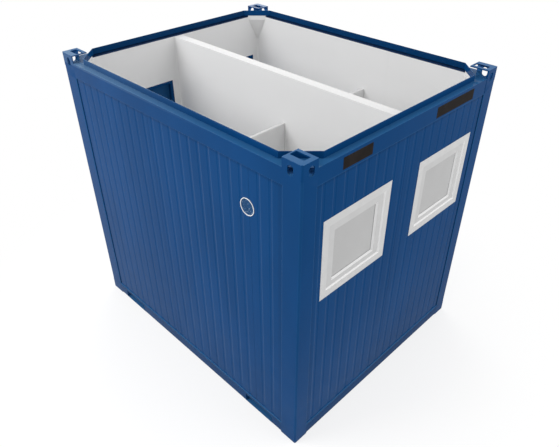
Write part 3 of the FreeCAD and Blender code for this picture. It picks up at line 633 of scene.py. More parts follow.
def along_line(end_depth=None, side_depth=None, low=-math.inf, high=math.inf):
    """Chooses edges on a line that is given by its depths and heights."""
    def on_line(point):
        return low - NEAR <= point.z <= high + NEAR and all(
            wanted is None or abs(depth - wanted) <= NEAR
            for depth, wanted in zip(depths(point), (end_depth, side_depth))
        )
    return lambda edge: all(on_line(vert.co) for vert in edge.verts)


def higher(height):
    """Chooses edges above a height."""
    return lambda edge: all(vert.co.z > height for vert in edge.verts)


def settled(obj):
    """Takes the object's modifiers into its mesh, and removes them."""
    graph = bpy.context.evaluated_depsgraph_get()
    made = bpy.data.meshes.new_from_object(
        obj.evaluated_get(graph), preserve_all_data_layers=True, depsgraph=graph
    )
    obj.modifiers.clear()
    old, obj.data = obj.data, made
    made.name = obj.name
    bpy.data.meshes.remove(old)


def shown(name, bm=None):
    """A new object in the scene, with a mesh of its own."""
    mesh = bpy.data.meshes.new(name)
    if bm:
        bm.to_mesh(mesh)
        bm.free()
    obj = bpy.data.objects.new(name, mesh)
    bpy.context.scene.collection.objects.link(obj)
    return obj


def piece(name, bm, coats, body="shell", stands_for=(), side=None, crease=38):
    """Makes the finished object: placed, shaded, coated and riding on its body."""
    bmesh.ops.recalc_face_normals(bm, faces=bm.faces)
    if side:
        bm.transform(facing(side))
    obj = shown(name, bm)
    for coat in ([coats] if isinstance(coats, str) else coats):
        obj.data.materials.append(finish(coat))
    obj.data.shade_smooth()
    obj.data.set_sharp_from_angle(angle=math.radians(crease))
    even = obj.modifiers.new("Even shading", "WEIGHTED_NORMAL")
    even.keep_sharp = True
    even.mode = "FACE_AREA"
    settled(obj)
    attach(obj, body)
    if stands_for:
        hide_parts(*stands_for)


def grown(tree, values):
    """Runs a node tree on an empty mesh, and gives what it made as a bmesh."""
    holder = shown("holder")
    modifier = holder.modifiers.new("Made by rule", "NODES")
    modifier.node_group = tree
    for socket in tree.interface.items_tree:
        if socket.item_type == "SOCKET" and socket.name in values:
            modifier[socket.identifier] = values[socket.name]
    settled(holder)
    bm = bmesh.new()
    bm.from_mesh(holder.data)
    bpy.data.objects.remove(holder)
    return bm


def opened(bm, cutters):
    """Cuts other solids out of a closed one."""
    if not cutters:
        return bm
    for cutter in cutters:
        bmesh.ops.recalc_face_normals(cutter, faces=cutter.faces)
    sheet, *holders = [shown("holder", mesh) for mesh in (bm, *cutters)]
    for cutter in holders:
        modifier = sheet.modifiers.new("Opening", "BOOLEAN")
        modifier.operation, modifier.solver, modifier.object = "DIFFERENCE", "EXACT", cutter
    settled(sheet)
    result = bmesh.new()
    result.from_mesh(sheet.data)
    for holder in (sheet, *holders):
        bpy.data.objects.remove(holder)
    return result


def openings(side, near, far, lap, bore, start=-math.inf, end=math.inf):
    """Cutters for a side's vent and windows, between two depths and two places along it."""
    cutters = []
    if side == "vent_side":
        low, high = on_side(side, "vent_collar")
        if start < (low.x + high.x) / 2 + 0.08 and end > low.x:
            cutters.append(bmesh.new())
            bar(cutters[-1], [(bore, near), (bore, far)], (low + high) / 2, 40)
    if side == "window_end":
        for tag in "12":
            low, high = on_side(side, "window_frame_" + tag)
            if high.x > start and low.x < end:
                cutters.append(bmesh.new())
                block(cutters[-1], (low.x + lap, near, low.z + lap),
                      (high.x - lap, far, high.z - lap))
    return cutters


class Step:
    """Shared by the operators: run() does the work and raises if it can't."""

    bl_options = {"REGISTER", "UNDO"}

    def execute(self, context):
        self.run(context.scene.container_sizes)
        return {"FINISHED"}


# ------------------------------------------------------------- steel frame
class CONTAINER_OT_posts(Step, Operator):
    """Folds the corner posts with rounded edges"""

    bl_idname = "container.posts"
    bl_label = "Corner posts"

    def run(self, sizes):
        long, wide = HALF_LONG - FITTING.x, HALF_WIDE - FITTING.y
        fold, inner_fold = sizes.post_fold, CORE_DEPTH * 0.6

        def turned_in(face):
            """The faces that the sheets meet, which lie in their own shade and take painted shade.
            """
            by_end, by_side = depths(face.calc_center_median())
            return ((abs(face.normal.x) > 0.9 and abs(by_end - long) < 0.002)
                    or (abs(face.normal.y) > 0.9 and abs(by_side - wide) < 0.002))

        for corner in CORNERS:
            node = "post_" + corner
            bm = copied(node)
            # Cut at the sill and the rail, so that only what shows between them is folded.
            for height in (SILL_TOP, RAIL_FOOT):
                bmesh.ops.bisect_plane(
                    bm, geom=bm.verts[:] + bm.edges[:] + bm.faces[:], dist=0.00001,
                    plane_co=(0, 0, height), plane_no=(0, 0, 1),
                )
            # The fold marks give painted highlights in the paint.
            soften(bm, fold, along_line(0, 0), 6, mark=0.3)
            soften(bm, max(fold - STEEL, 0.001), along_line(STEEL, STEEL), 6)
            for line in ((long, 0), (0, wide)):
                soften(bm, inner_fold, along_line(*line, SILL_TOP, RAIL_FOOT), 4, mark=1.0)
            # Painted shade on the returns.
            marked(bm, "shelter", turned_in, 1.4)
            piece("corner_" + node, bm, "frame_paint", stands_for=[node])


class CONTAINER_OT_castings(Step, Operator):
    """Rounds the corner castings and the rims of their slots and eyes"""

    bl_idname = "container.castings"
    bl_label = "Corner castings"

    @staticmethod
    def square(bm, low, high, corner=0.006, plate=0.0115):
        """Moves the round ends of the slot in a top plate out to tight corners."""
        slots = next(m for m in frame["record"]["mounts"] if m["name"] == "top_lock_slots")["dims"]
        r, half = slots["hole_r_mm"] / 1000, slots["slot_length_mm"] / 2000
        middle = Vector((math.copysign(slots["spacing_x_mm"] / 2000, low.x),
                         math.copysign(slots["spacing_y_mm"] / 2000, low.y)))
        for vert in bm.verts:
            from_middle = vert.co.xy - middle
            out = Vector((abs(from_middle.x) - (half - r), from_middle.y))
            if vert.co.z < high.z - plate or out.x <= 0.0001 or abs(out.length - r) > HAIR:
                continue
            way, k = out.normalized(), r - corner
            reach = r / max(way.x, abs(way.y))
            if reach * way.x > k and reach * abs(way.y) > k:
                knee = Vector((k, math.copysign(k, way.y)))
                lean = way.dot(knee)
                reach = lean + math.sqrt(max(lean * lean - knee.length_squared + corner ** 2, 0))
            end = math.copysign(half - r + reach * way.x, from_middle.x)
            vert.co.xy = middle + Vector((end, reach * way.y))

    def run(self, sizes):
        for node in ["%s_fitting_%s" % (l, c) for l in ("top", "bottom") for c in CORNERS]:
            low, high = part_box(node)
            joint, outer = (low.z, TOP) if node.startswith("top") else (high.z, 0.0)
            bm = copied(node)
            if outer:
                self.square(bm, low, high)
            soften(bm, sizes.post_fold * 0.7, along_line(0, 0), 5)

            def rim(edge, joint=joint, outer=outer):
                """Edges of the outer faces, apart from the weld to the post."""
                spots = [vert.co for vert in edge.verts]
                faces = zip(*((p.z - outer, *depths(p)) for p in spots))
                return (any(abs(p.z - joint) >= NEAR for p in spots)
                        and any(all(abs(depth) < NEAR for depth in face) for face in faces))
            # The rim marks give painted highlights.
            soften(bm, sizes.casting_edge, rim, 2, mark=0.5, least=50)
            # Painted light: the large faces inside are paler, as if lit.
            within = low.lerp(high, 0.5)
            marked(bm, "dust", lambda f: f.calc_area() > 0.0015
                   and (f.calc_center_median() - within).dot(f.normal) < -0.004, 0.9)
            piece("casting_" + node, bm, "casting_paint", stands_for=[node])


class CONTAINER_OT_rails(Step, Operator):
    """Folds the top and bottom rails and the roof curb"""

    bl_idname = "container.rails"
    bl_label = "Rails and curb"

    @staticmethod
    def curb(bm, lip):
        """Rounds the curb with painted highlights on its folds, and paints shade on it: darker on
        its inside, and not across the corners.
        """
        soften(bm, 0.0012, higher(lip + 0.01), 2, mark=0.3)
        for inside, amount in ((False, 0.1), (True, 1.0)):
            marked(bm, "shelter", lambda f: f.calc_center_median().z > lip + 0.002
                   and max(abs(f.normal.x), abs(f.normal.y)) > 0.75
                   and (f.calc_center_median().xy.dot(f.normal.xy) < 0) == inside, amount)

    def run(self, sizes):
        radius, lip = sizes.rail_fold, LIP + STEEL
        for side in SIDES:
            by_end = side.endswith("end")

            def edge_at(height, depth=0.0, by_end=by_end):
                """Chooses a rail's long edge by its height and depth."""
                line = (depth, None) if by_end else (None, depth)
                return along_line(*line, height, height)

            node = "top_rail_" + side
            bm = copied(node)
            # The fold marks give painted highlights.
            soften(bm, radius, edge_at(RAIL_FOOT), 4, mark=1.0 if by_end else 0.5)
            soften(bm, sizes.lip_fold, edge_at(lip), 3, mark=0.2)
            soften(bm, radius - STEEL + 0.0005, edge_at(RAIL_FOOT + STEEL, STEEL), 3)
            self.curb(bm, lip)
            if side == "window_end":
                # The face is set back by the thickness of the sign plates.
                for vert in bm.verts:
                    if depths(vert.co)[0] < PLATE:
                        vert.co.x = math.copysign(HALF_LONG - PLATE, vert.co.x)
            piece("top_fold_" + side, bm, "frame_paint", stands_for=[node])

            node = "bottom_rail_" + side
            bm = copied(node)
            # Painted highlight on the sill's fold, painted shade on the outer faces.
            soften(bm, 0.009, edge_at(SILL_TOP), 4, mark=0.8)
            marked(bm, "shelter", lambda f: max(abs(f.normal.x), abs(f.normal.y)) > 0.99
                   and min(depths(f.calc_center_median())) < 0.001, 0.55)
            soften(bm, 0.005, edge_at(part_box(node)[0].z), 3, mark=0.2)
            piece("bottom_fold_" + side, bm, "frame_paint", stands_for=[node])
        bm = copied("corner_plates")
        self.curb(bm, lip)
        piece("curb_corners", bm, "frame_paint", stands_for=["corner_plates"])


class CONTAINER_OT_underside(Step, Operator):
    """Rounds the fork tunnels and primes the members under the floor"""

    bl_idname = "container.underside"
    bl_label = "Underside"

    def run(self, sizes):
        for tag in ("door", "window"):
            node = "fork_pocket_" + tag
            bm = copied(node)
            # The rounded edges' marks give painted highlights.
            soften(bm, 0.0012, None, 2, mark=0.5)
            centre = sum(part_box(node), Vector()) / 2
            # Painted light: the tunnels' inside faces are paler, as if lit.
            marked(bm, "dust", lambda f: abs(f.normal.y) < 0.1
                   and (f.calc_center_median() - centre).dot(f.normal) < 0, 0.12)
            piece("fork_tunnel_" + tag, bm, "casting_paint", stands_for=[node])
        bm = copied("floor_members")
        soften(bm, 0.001, lambda e: abs(e.verts[0].co.y - e.verts[1].co.y) > 0.3, 2)
        piece("cross_members", bm, "primed_steel", stands_for=["floor_members"])
        # Pressed pan that closes the floor from below, between the members.
        low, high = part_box("floor")
        inset = Vector((0.02, 0.02, 0.0))
        bm = bmesh.new()
        block(bm, low + inset - Vector((0, 0, 0.0008)), (*(high - inset).xy, low.z + 0.0002))
        soften(bm, 0.0003, None, 1)
        piece("floor_pan", bm, "zinc")


# ---------------------------------------------------------------- cladding
class Rule(Kit):
    """A geometry node tree: sizes go in by name, and what it makes comes out coated."""

    def __init__(self, name, sizes):
        super().__init__(bpy.data.node_groups.new(name, "GeometryNodeTree"))
        sockets = self.tree.interface
        for size, default in sizes.items():
            sockets.new_socket(
                name=size, in_out="INPUT", socket_type="NodeSocketFloat").default_value = default
        sockets.new_socket(name="Coat", in_out="INPUT", socket_type="NodeSocketMaterial")
        sockets.new_socket(name="Made", in_out="OUTPUT", socket_type="NodeSocketGeometry")
        self.given = self.node("NodeGroupInput").out

    def close(self, geometry):
        """Ends the tree in plain geometry with its coat, and gives the tree."""
        real = self.node("GeometryNodeRealizeInstances", {"Geometry": geometry})
        coated = self.node("GeometryNodeSetMaterial", {
            "Geometry": real, "Material": self.given("Coat"),
        })
        self.node("NodeGroupOutput", {"Made": coated})
        return self.tree


def ribbed_tree():
    """Geometry nodes that fold one ribbed sheet: along X, grooves into +Y, up Z."""
    kit = Rule("Ribbed sheet", {
        "Width": 1.0, "Height": 1.0, "Pitch": 0.1163, "First groove": 0.05,
        "Groove width": 0.036, "Groove depth": 0.0034, "Sheet thickness": 0.0006,
        "Edge return": 0.0047, "Shoulder": 0.009, "First shine": 0.0, "Second shine": 0.0,
    })
    given = kit.given
    wide, pitch, groove = given("Width"), given("Pitch"), given("Groove width")
    folds, spare, margin = 6, 2, 0.003
    # The spare ribs past each edge fold flat into it.
    columns = ((wide / pitch).whole() + 2 * spare) * folds
    grid = kit.node("GeometryNodeMeshGrid", {"Vertices X": columns, "Vertices Y": 2})
    index = kit.node("GeometryNodeInputIndex")
    column = (index / 2).whole()
    # Six folds to a groove: shoulder, rim and floor edge, on its first side then its second.
    rib = (column / folds).whole()
    fold = column % folds
    inner, outer = abs(fold - 2.5) < 1, abs(fold - 2.5) > 2
    turn = (fold > 2.5) * 2 - 1
    middle = given("First groove") + (rib - spare) * pitch
    spot = middle + turn * (groove / 2 - inner * groove * 0.25 + outer * given("Shoulder"))
    # A groove that would run off the sheet's edge is left out.
    inside = (middle - groove / 2 > margin) * (middle + groove / 2 < wide - margin)
    first, last = column < 0.5, column > columns - 1.5
    lean = given("Sheet thickness") * 1.5
    place = kit.vector(
        X=spot.most(0.0).least(wide) + (last - first) * lean,
        Y=inner * inside * given("Groove depth") + (first + last) * given("Edge return"),
        Z=(index % 2) * given("Height"),
    )
    # Painted highlight: the rim on the chosen side of each groove is marked paler.
    rim = (1 - inner) * (1 - outer) * inside
    shine = (turn < 0) * given("First shine") + (turn > 0) * given("Second shine")
    lightened = kit.node("GeometryNodeStoreNamedAttribute", {
        "Geometry": grid, "Name": "edge", "Value": rim * shine,
    }, data_type="FLOAT", domain="POINT")
    flat = kit.node("GeometryNodeSetPosition", {"Geometry": lightened, "Position": place})
    clean = kit.node("GeometryNodeMergeByDistance", {"Geometry": flat, "Distance": 0.00005})
    back = kit.node("GeometryNodeExtrudeMesh", {
        "Mesh": clean, "Offset": kit.vector(Y=given("Sheet thickness")), "Offset Scale": 1.0,
        "Individual": False,
    }, mode="FACES")
    both = kit.node("GeometryNodeJoinGeometry", {0: back})
    kit.plug(both.node, 0, kit.node("GeometryNodeFlipFaces", {"Mesh": clean}))
    return kit.close(kit.node("GeometryNodeMergeByDistance", {
        "Geometry": both, "Distance": 0.00002,
    }))


def door_holes():
    """Both door frames' (low, high) corners on their side, in order along it."""
    return sorted((on_side("door_end", "door_%s_frame" % tag) for tag in "12"),
                  key=lambda ends: ends[0].x)


class CONTAINER_OT_cladding(Step, Operator):
    """Hangs the ribbed outer sheets on the four sides"""

    bl_idname = "container.cladding"
    bl_label = "Ribbed sheets"

    def run(self, sizes):
        tree = ribbed_tree()
        front = CORE_DEPTH - sizes.sheet_proud
        end_reach, side_reach = FITTING.x - sizes.joint, FITTING.y - sizes.joint
        head, seam = RAIL_FOOT + 0.02, 0.001
        (a_low, a_high), (b_low, b_high) = door_holes()
        # Each sheet: side, from, to, first groove, foot, head.
        sheets = [
            (side, *place, SILL_TOP, head) for side in LONG_SIDES for place in (
                (-end_reach, -0.206, -1.192), (-0.204, 0.990, -0.027), (0.992, end_reach, 1.088))
        ] + [
            ("window_end", -side_reach, -0.025, -0.995, SILL_TOP, head),
            ("window_end", -0.023, side_reach, 0.056, SILL_TOP, head),
            ("door_end", -side_reach, a_low.x - seam, -0.995, SILL_TOP, a_high.z),
            ("door_end", a_high.x + seam, b_low.x - seam, a_high.x + 0.058, SILL_TOP, a_high.z),
            ("door_end", b_high.x + seam, side_reach, b_high.x + 0.04, SILL_TOP, a_high.z),
            ("door_end", -side_reach, side_reach, -0.995, a_high.z + 2 * seam, head),
        ]
        collar = on_side("vent_side", "vent_collar")
        bore = (collar[1].x - collar[0].x) / 2 - 0.008
        for count, (side, start, end, groove, foot, top) in enumerate(sheets, start=1):
            long = side in LONG_SIDES
            bm = grown(tree, {
                "Width": end - start, "Height": top - foot, "Pitch": sizes.rib_pitch,
                "First groove": (groove - start) % sizes.rib_pitch,
                "Groove width": sizes.groove_wide, "Groove depth": sizes.groove_deep,
                "Sheet thickness": sizes.sheet_thick, "Edge return": sizes.sheet_proud - NEAR,
                # The shine is a painted highlight on one slope of each groove.
                "First shine": 0.0 if long else 0.4, "Second shine": 0.4 if long else 0.0,
                "Coat": finish("sheet_paint"),
            })
            bm.transform(Matrix.Translation((start, front, foot)))
            bm = opened(bm, openings(side, 0, 0.05, lap=0.02, bore=bore, start=start, end=end))
            piece("outer_sheet_%02d" % count, bm, "sheet_paint", side=side,
                  crease=12)
        bpy.data.node_groups.remove(tree)

        # Soft sealing strips in the joints between the sheets and the posts.
        for side in SIDES:
            reach, post = (
                (end_reach, FITTING.x) if side in LONG_SIDES else (side_reach, FITTING.y))
            bm = bmesh.new()
            for way in (-1, 1):
                inner, outer = sorted((way * (reach - 0.004), way * (post + 0.002)))
                outline = ((inner, 0), (inner, 0.0012), ((inner + outer) / 2, 0.0026),
                           (outer, 0.0012), (outer, 0))
                loops(bm, [[(along, CORE_DEPTH - proud, z) for along, proud in outline]
                           for z in (SILL_TOP, RAIL_FOOT)])
            piece("corner_joints_" + side, bm, "sealing_tape", side=side)


def hollow(radius, steps):
    """A hollow quarter round: its points' distances from the two faces it joins."""
    turns = [math.pi / 2 * i / steps for i in range(steps + 1)]
    return [(radius * (1 - math.sin(a)), radius * (1 - math.cos(a))) for a in turns]


def long_faces(liner):
    """The rooms' long faces: place across the container, and the way into the room."""
    reach = ROOM.y - liner
    return (-reach, 1), (-PARTITION, -1), (PARTITION, 1), (reach, -1)


class CONTAINER_OT_walls(Step, Operator):
    """Lines the walls inside and seals their tops"""

    bl_idname = "container.walls"
    bl_label = "Inner sheets and seals"

    @staticmethod
    def covers():
        """Slanted covers across the room corners, which hide the castings' inner ends."""
        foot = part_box("top_fitting_window_plain")[0].z - 0.0026
        reach, drop, thick = 0.139, 0.26, 0.0055

        def slant(across, lap=0.0012):
            """The corner's two walls and the cover, as distances from the walls."""
            return ((-HAIR, -HAIR), (across, -HAIR), (across, lap), (lap, across),
                    (-HAIR, across))
        # Beside the casting the cover is only a strip, clear of its inner corner.
        strip = ((reach - thick, 0), (reach, 0), (0, reach), (0, reach - thick))
        bm = bmesh.new()
        for x_way in (-1, 1):
            for y_way in (-1, 1):
                for cover in (((slant(0.004), foot - drop), (slant(reach), foot)),
                              ((strip, foot - 0.001), (strip, LIP - 0.0006))):
                    loops(bm, [[(x_way * (ROOM.x - a), y_way * (ROOM.y - b), lift)
                                for a, b in outline] for outline, lift in cover])
        # Painted light on the covers' downward slopes.
        marked(bm, "edge", lambda f: -0.9 < f.normal.z < -0.1)
        piece("casting_covers", bm, "white_sheet")

    def run(self, sizes):
        for node in frame["nodes"]:
            if node.startswith(("wall_", "vent_block")):
                recoat(node, "wall_core")
        for side in SIDES:
            if side in LONG_SIDES:
                post = FITTING.x
                sheets = (-ROOM.x, -0.45), (-0.45, 0.55), (0.55, ROOM.x)
            else:
                post = FITTING.y
                sheets = (-ROOM.y, -PARTITION), (PARTITION, ROOM.y)
            bm = bmesh.new()
            for start, end in sheets:
                block(bm, (start + HAIR / 2, WALL_DEPTH - 0.0002, ROOM.z),
                      (end - HAIR / 2, WALL_DEPTH + sizes.liner, WALL_TOP))
            near, far = 0.05, 0.15
            cutters = openings(side, near, far, lap=0.03, bore=0.066)
            if side == "door_end":
                for low, high in door_holes():
                    cutters.append(bmesh.new())
                    block(cutters[-1], (low.x, near, 0.1), (high.x, far, high.z))
            piece("inner_sheet_" + side, opened(bm, cutters), "white_sheet",
                  side=side)

            # A sealing strip on each wall top; its dark navy also stands in for the shade under
            # the curb.
            bm = bmesh.new()
            block(bm, (0.0005 - post, CURB_BACK - 0.03, WALL_TOP - 0.001),
                  (post - 0.0005, WALL_DEPTH, WALL_TOP + 0.006))
            soften(bm, 0.002, None, 2)
            piece("top_seal_" + side, bm, "sealing_tape", side=side)
        self.covers()

        # Cove strips up the room corners.
        bm = bmesh.new()
        for x_way in (-1, 1):
            for face, toward in long_faces(sizes.liner):
                outline = [(0, 0), *hollow(sizes.cove, 6)]
                loops(bm, [[(x_way * (ROOM.x - sizes.liner - a), face + toward * b, z)
                            for a, b in outline] for z in (ROOM.z, WALL_TOP - 0.001)])
        piece("cove_strips", bm, "white_sheet", crease=50)


# ----------------------------------------------------------------- windows
class CONTAINER_OT_windows(Step, Operator):
    """Builds both windows: stepped frame, sash, beads, gasket and pane"""

    bl_idname = "container.windows"
    bl_label = "Windows"

    @staticmethod
    def whitened(bm, low, high, start, end, deepest):
        """Marks the falling faces between two insets, for painted highlights."""
        def falls(face):
            spot = face.calc_center_median()
            inset = min(spot.x - low[0], high[0] - spot.x, spot.z - low[1], high[1] - spot.z)
            return start < inset < end and spot.y < deepest
        marked(bm, "edge", falls)

    def run(self, sizes):
        side = "window_end"
        for tag in "12":
            low, high = on_side(side, "window_frame_" + tag)
            sash_low, sash_high = on_side(side, "window_sash_" + tag)
            pane_low, pane_high = on_side(side, "window_pane_" + tag)
            # The sash and its pane sit a little back, with a lower rail of their own width.
            wide, border = pane_low.x - sash_low.x, sash_low.x - low.x
            pane_low.z = sash_low.z + sizes.sash_foot
            sash_low.y += sizes.sash_back
            for corner in (pane_low, pane_high):
                corner.y += sizes.pane_back
            frame_ring, sash_ring, pane_ring = (
                ((a.x, a.z), (b.x, b.z))
                for a, b in ((low, high), (sash_low, sash_high), (pane_low, pane_high)))
            back, sheet, glass = WALL_DEPTH, CORE_DEPTH - sizes.sheet_proud, pane_low.y

            bm = bmesh.new()
            edge, fall = 0.002, 0.007
            mitred(bm, [
                (0.030, back), (0.030, CORE_DEPTH + HAIR), (0.0, sheet + HAIR),
                *arc((edge, low.y + edge), edge, 180, 270, 4),
                (border - fall - 0.001, low.y), (border - fall, low.y + HAIR),
                (border - 0.0006, sash_low.y + 0.0005), (border, sash_low.y + 0.002),
                (border, back),
            ], *frame_ring)
            self.whitened(bm, *frame_ring, border - fall - HAIR, border + HAIR,
                          sash_low.y + 0.002)
            # Inner trim that laps the white sheet.
            mitred(bm, [
                (0.018, back), (0.018, back + 0.006), (0.022, back + 0.010),
                (border - 0.004, back + 0.010), (border, back + 0.006),
                (border, back - 0.004), (0.03, back - 0.004), (0.03, back),
            ], *frame_ring)
            piece("window_surround_" + tag, bm, "white_plastic", side=side,
                  stands_for=["window_frame_" + tag], crease=18)

            bm = bmesh.new()
            face, rear, bead = sash_low.y, sash_high.y, wide - 0.008
            mitred(bm, [
                (0.0005, rear), *arc((0.0025, face + edge), edge, 180, 270, 3),
                (bead - 0.001, face), (bead, face + HAIR),
                (wide - 0.0008, glass - 0.0012), (wide, glass - HAIR), (wide, rear),
            ], *sash_ring)
            self.whitened(bm, *sash_ring, bead - HAIR, wide + HAIR, glass)
            # Painted shade on the sash's front faces.
            marked(bm, "shelter", lambda f: f.calc_center_median().y < face + NEAR)
            # The lower rail is narrower than the others.
            for vert in bm.verts:
                if 0.004 < vert.co.z - sash_low.z <= wide:
                    vert.co.z -= wide - sizes.sash_foot
            piece("window_casement_" + tag, bm, "white_plastic", side=side,
                  stands_for=["window_sash_" + tag], crease=18)

            bm = bmesh.new()
            mitred(bm, [
                (-HAIR, glass + 0.0006), (-HAIR, glass - 0.0008), (0.0030, glass - 0.0013),
                (0.0056, glass - 0.0003), (0.0058, glass + 0.0006),
            ], *pane_ring)
            behind = pane_high.y
            mitred(bm, [
                (-0.001, behind - 0.001), (0.003, behind - 0.001), (0.003, behind + 0.0012),
                (-0.001, behind + 0.003),
            ], *pane_ring)
            piece("window_gasket_" + tag, bm, "glazing_gasket", side=side)

            bm = bmesh.new()
            block(bm, pane_low, pane_high)
            soften(bm, 0.001, None, 2)
            piece("window_glazing_" + tag, bm, "obscured_glass", side=side,
                  stands_for=["window_pane_" + tag])


# -------------------------------------------------------------------- vent
def louvre_tree():
    """Geometry nodes that fill a round mouth with tilted blades."""
    kit = Rule("Louvre", {
        "Radius": 0.06, "Pitch": 0.0085, "Blade depth": 0.006, "Blade thickness": 0.0012,
        "Tilt": 0.6,
    })
    given = kit.given
    radius, pitch = given("Radius"), given("Pitch")
    half = ((radius * 0.96) / pitch).whole()
    row = kit.node("GeometryNodeMeshLine", {
        "Count": half * 2 + 1, "Start Location": kit.vector(Z=half * pitch * -1.0),
        "Offset": kit.vector(Z=pitch),
    }, mode="OFFSET")
    high = (kit.node("GeometryNodeInputIndex") - half) * pitch
    reach = (radius * radius - high * high).most(0.000004) ** 0.5
    blade = kit.node("GeometryNodeMeshCube", {
        "Size": kit.vector(X=2.0, Y=given("Blade depth"), Z=given("Blade thickness")),
    })
    tilted = kit.node("GeometryNodeTransform", {
        "Geometry": blade, "Rotation": kit.vector(X=given("Tilt")),
    })
    return kit.close(kit.node("GeometryNodeInstanceOnPoints", {
        "Points": row, "Instance": tilted, "Scale": kit.vector(X=reach, Y=1.0, Z=1.0),
    }))


class CONTAINER_OT_vent(Step, Operator):
    """Builds the wall vent: ring, duct, blades and the inner ring"""

    bl_idname = "container.vent"
    bl_label = "Wall vent"

    def run(self, sizes):
        low, high = on_side("vent_side", "vent_collar")
        grille_low, grille_high = on_side("vent_side", "vent_grille")
        middle = (low + high) / 2
        radius, bore = (high.x - low.x) / 2, (grille_high.x - grille_low.x) / 2
        front, seat = low.y, (grille_low.y + grille_high.y) / 2
        lip, mouth, slim = 0.0018, radius - 0.0090, radius - 0.0030
        sheet = CORE_DEPTH - sizes.sheet_proud + HAIR
        bm = bmesh.new()
        turned(bm, [
            (bore, WALL_DEPTH + 0.006), (bore, seat + 0.0006), (mouth, seat + 0.0002),
            (mouth, front + lip),
            *arc((mouth + lip, front + lip), lip, 180, 270, 4),
            *arc((slim - lip, front + lip), lip, 270, 350, 3),
            (slim, sheet), (bore + 0.004, sheet),
            (bore + 0.004, WALL_DEPTH + 0.0012), (radius - 0.004, WALL_DEPTH + 0.0012),
            (radius - 0.004, WALL_DEPTH + 0.004), (radius - 0.007, WALL_DEPTH + 0.006),
        ], middle)
        # Painted highlight on the ring's front lip.
        marked(bm, "edge", lambda f: f.calc_center_median().y < front + 0.0012)
        piece("vent_ring", bm, "white_plastic", side="vent_side",
              stands_for=["vent_collar"])

        tree = louvre_tree()
        for name, depth, rim, stands in (
            ("vent_blades", seat, mouth - 0.0002, ["vent_grille"]),
            ("vent_blades_inner", WALL_DEPTH - 0.006, bore - 0.0002, []),
        ):
            bm = grown(tree, {
                "Radius": bore - 0.0005, "Pitch": sizes.louvre_pitch, "Blade depth": 0.0058,
                "Blade thickness": 0.0014, "Tilt": 0.62, "Coat": finish("vent_plastic"),
            })
            bm.transform(Matrix.Translation((middle.x, depth, middle.z)))
            # A thin upright carries the blades, and a ring holds their ends.
            block(bm, (middle.x - 0.0012, depth - 0.001, middle.z - bore + 0.001),
                  (middle.x + 0.0012, depth + 0.0035, middle.z + bore - 0.001))
            turned(bm, [
                (bore - 0.0035, depth - 0.002), (rim, depth - 0.002), (rim, depth),
                (bore - 0.0002, depth + 0.0005), (bore - 0.0002, depth + 0.004),
                (bore - 0.0035, depth + 0.004),
            ], middle)
            piece(name, bm, "vent_plastic", side="vent_side",
                  stands_for=stands)
        bpy.data.node_groups.remove(tree)


# ------------------------------------------------------------------- doors
class CONTAINER_OT_doors(Step, Operator):
    """Builds both outside doors: frame, leaf, hinges, seal and lever"""

    bl_idname = "container.doors"
    bl_label = "Outside doors"

    def run(self, sizes):
        side = "door_end"
        back = facing(side).inverted()
        for tag, joint in zip("12", frame["joints"]):
            body = "door_" + tag
            axis = (back @ Vector(joint["pos_m"])).xy
            # Each: kind, edge rounding, depth that only its hinge is in front of, slot, body.
            for kind, width, front, slot, rides in (
                ("leaf", 0.0025, 0.0099, "door_paint", body),
                ("frame", 0.0012, 0.0183, "frame_paint", "shell"),
            ):
                node = "door_%s_%s" % (tag, kind)
                bm = copied(node)
                bm.transform(back)

                def straight(edge, axis=axis):
                    """Long straight edges, away from the hinge's round parts."""
                    near = min((vert.co.xy - axis).length for vert in edge.verts)
                    return edge.calc_length() > 0.2 and near > 0.011
                # The edge marks give painted highlights.
                soften(bm, width, straight, 2, mark=0.35)
                for plate in bm.faces:
                    spot = plate.calc_center_median()
                    if spot.y < front and abs(spot.x - axis.x) < 0.06:
                        plate.material_index = 1
                # Painted light on the large faces that look into the room.
                marked(bm, "edge", lambda f: f.normal.y > 0.9 and f.calc_area() > 0.2)
                piece("door_%s_%s" % (kind, tag), bm, ["frame_paint", "zinc"],
                      body=rides, stands_for=[node], side=side)

            leaf_low, leaf_high = on_side(side, "door_%s_leaf" % tag)
            low, high = on_side(side, "door_%s_frame" % tag)
            # The gap between frame and leaf is narrower on the hinged side.
            insets = (0.022, 0.024) if axis.x < (low.x + high.x) / 2 else (0.024, 0.022)
            # Raised rim of folded sheet round the leaf's outer face.
            bm = bmesh.new()
            mitred(bm, [
                (0.012, 0.0102), (0.012, 0.0096), (0.014, 0.0092), (0.030, 0.0092),
                (0.032, 0.0096), (0.032, 0.0102),
            ], (low.x + insets[0], leaf_low.z), (high.x - insets[1], leaf_high.z))
            piece("leaf_rim_" + tag, bm, "frame_paint", body=body, side=side)

            # Seal on the stop, between the leaf's back and the frame.
            bm = bmesh.new()
            stop = 0.021
            mitred(bm, [
                (stop, 0.0552), (stop, 0.0528), (stop + 0.003, 0.0518),
                (stop + 0.008, 0.0526), (stop + 0.009, 0.0552),
            ], (low.x, low.z + 0.03), (high.x, high.z))
            piece("door_seal_" + tag, bm, "rubber", side=side)
            recoat("door_%s_handle" % tag, "brushed_metal")


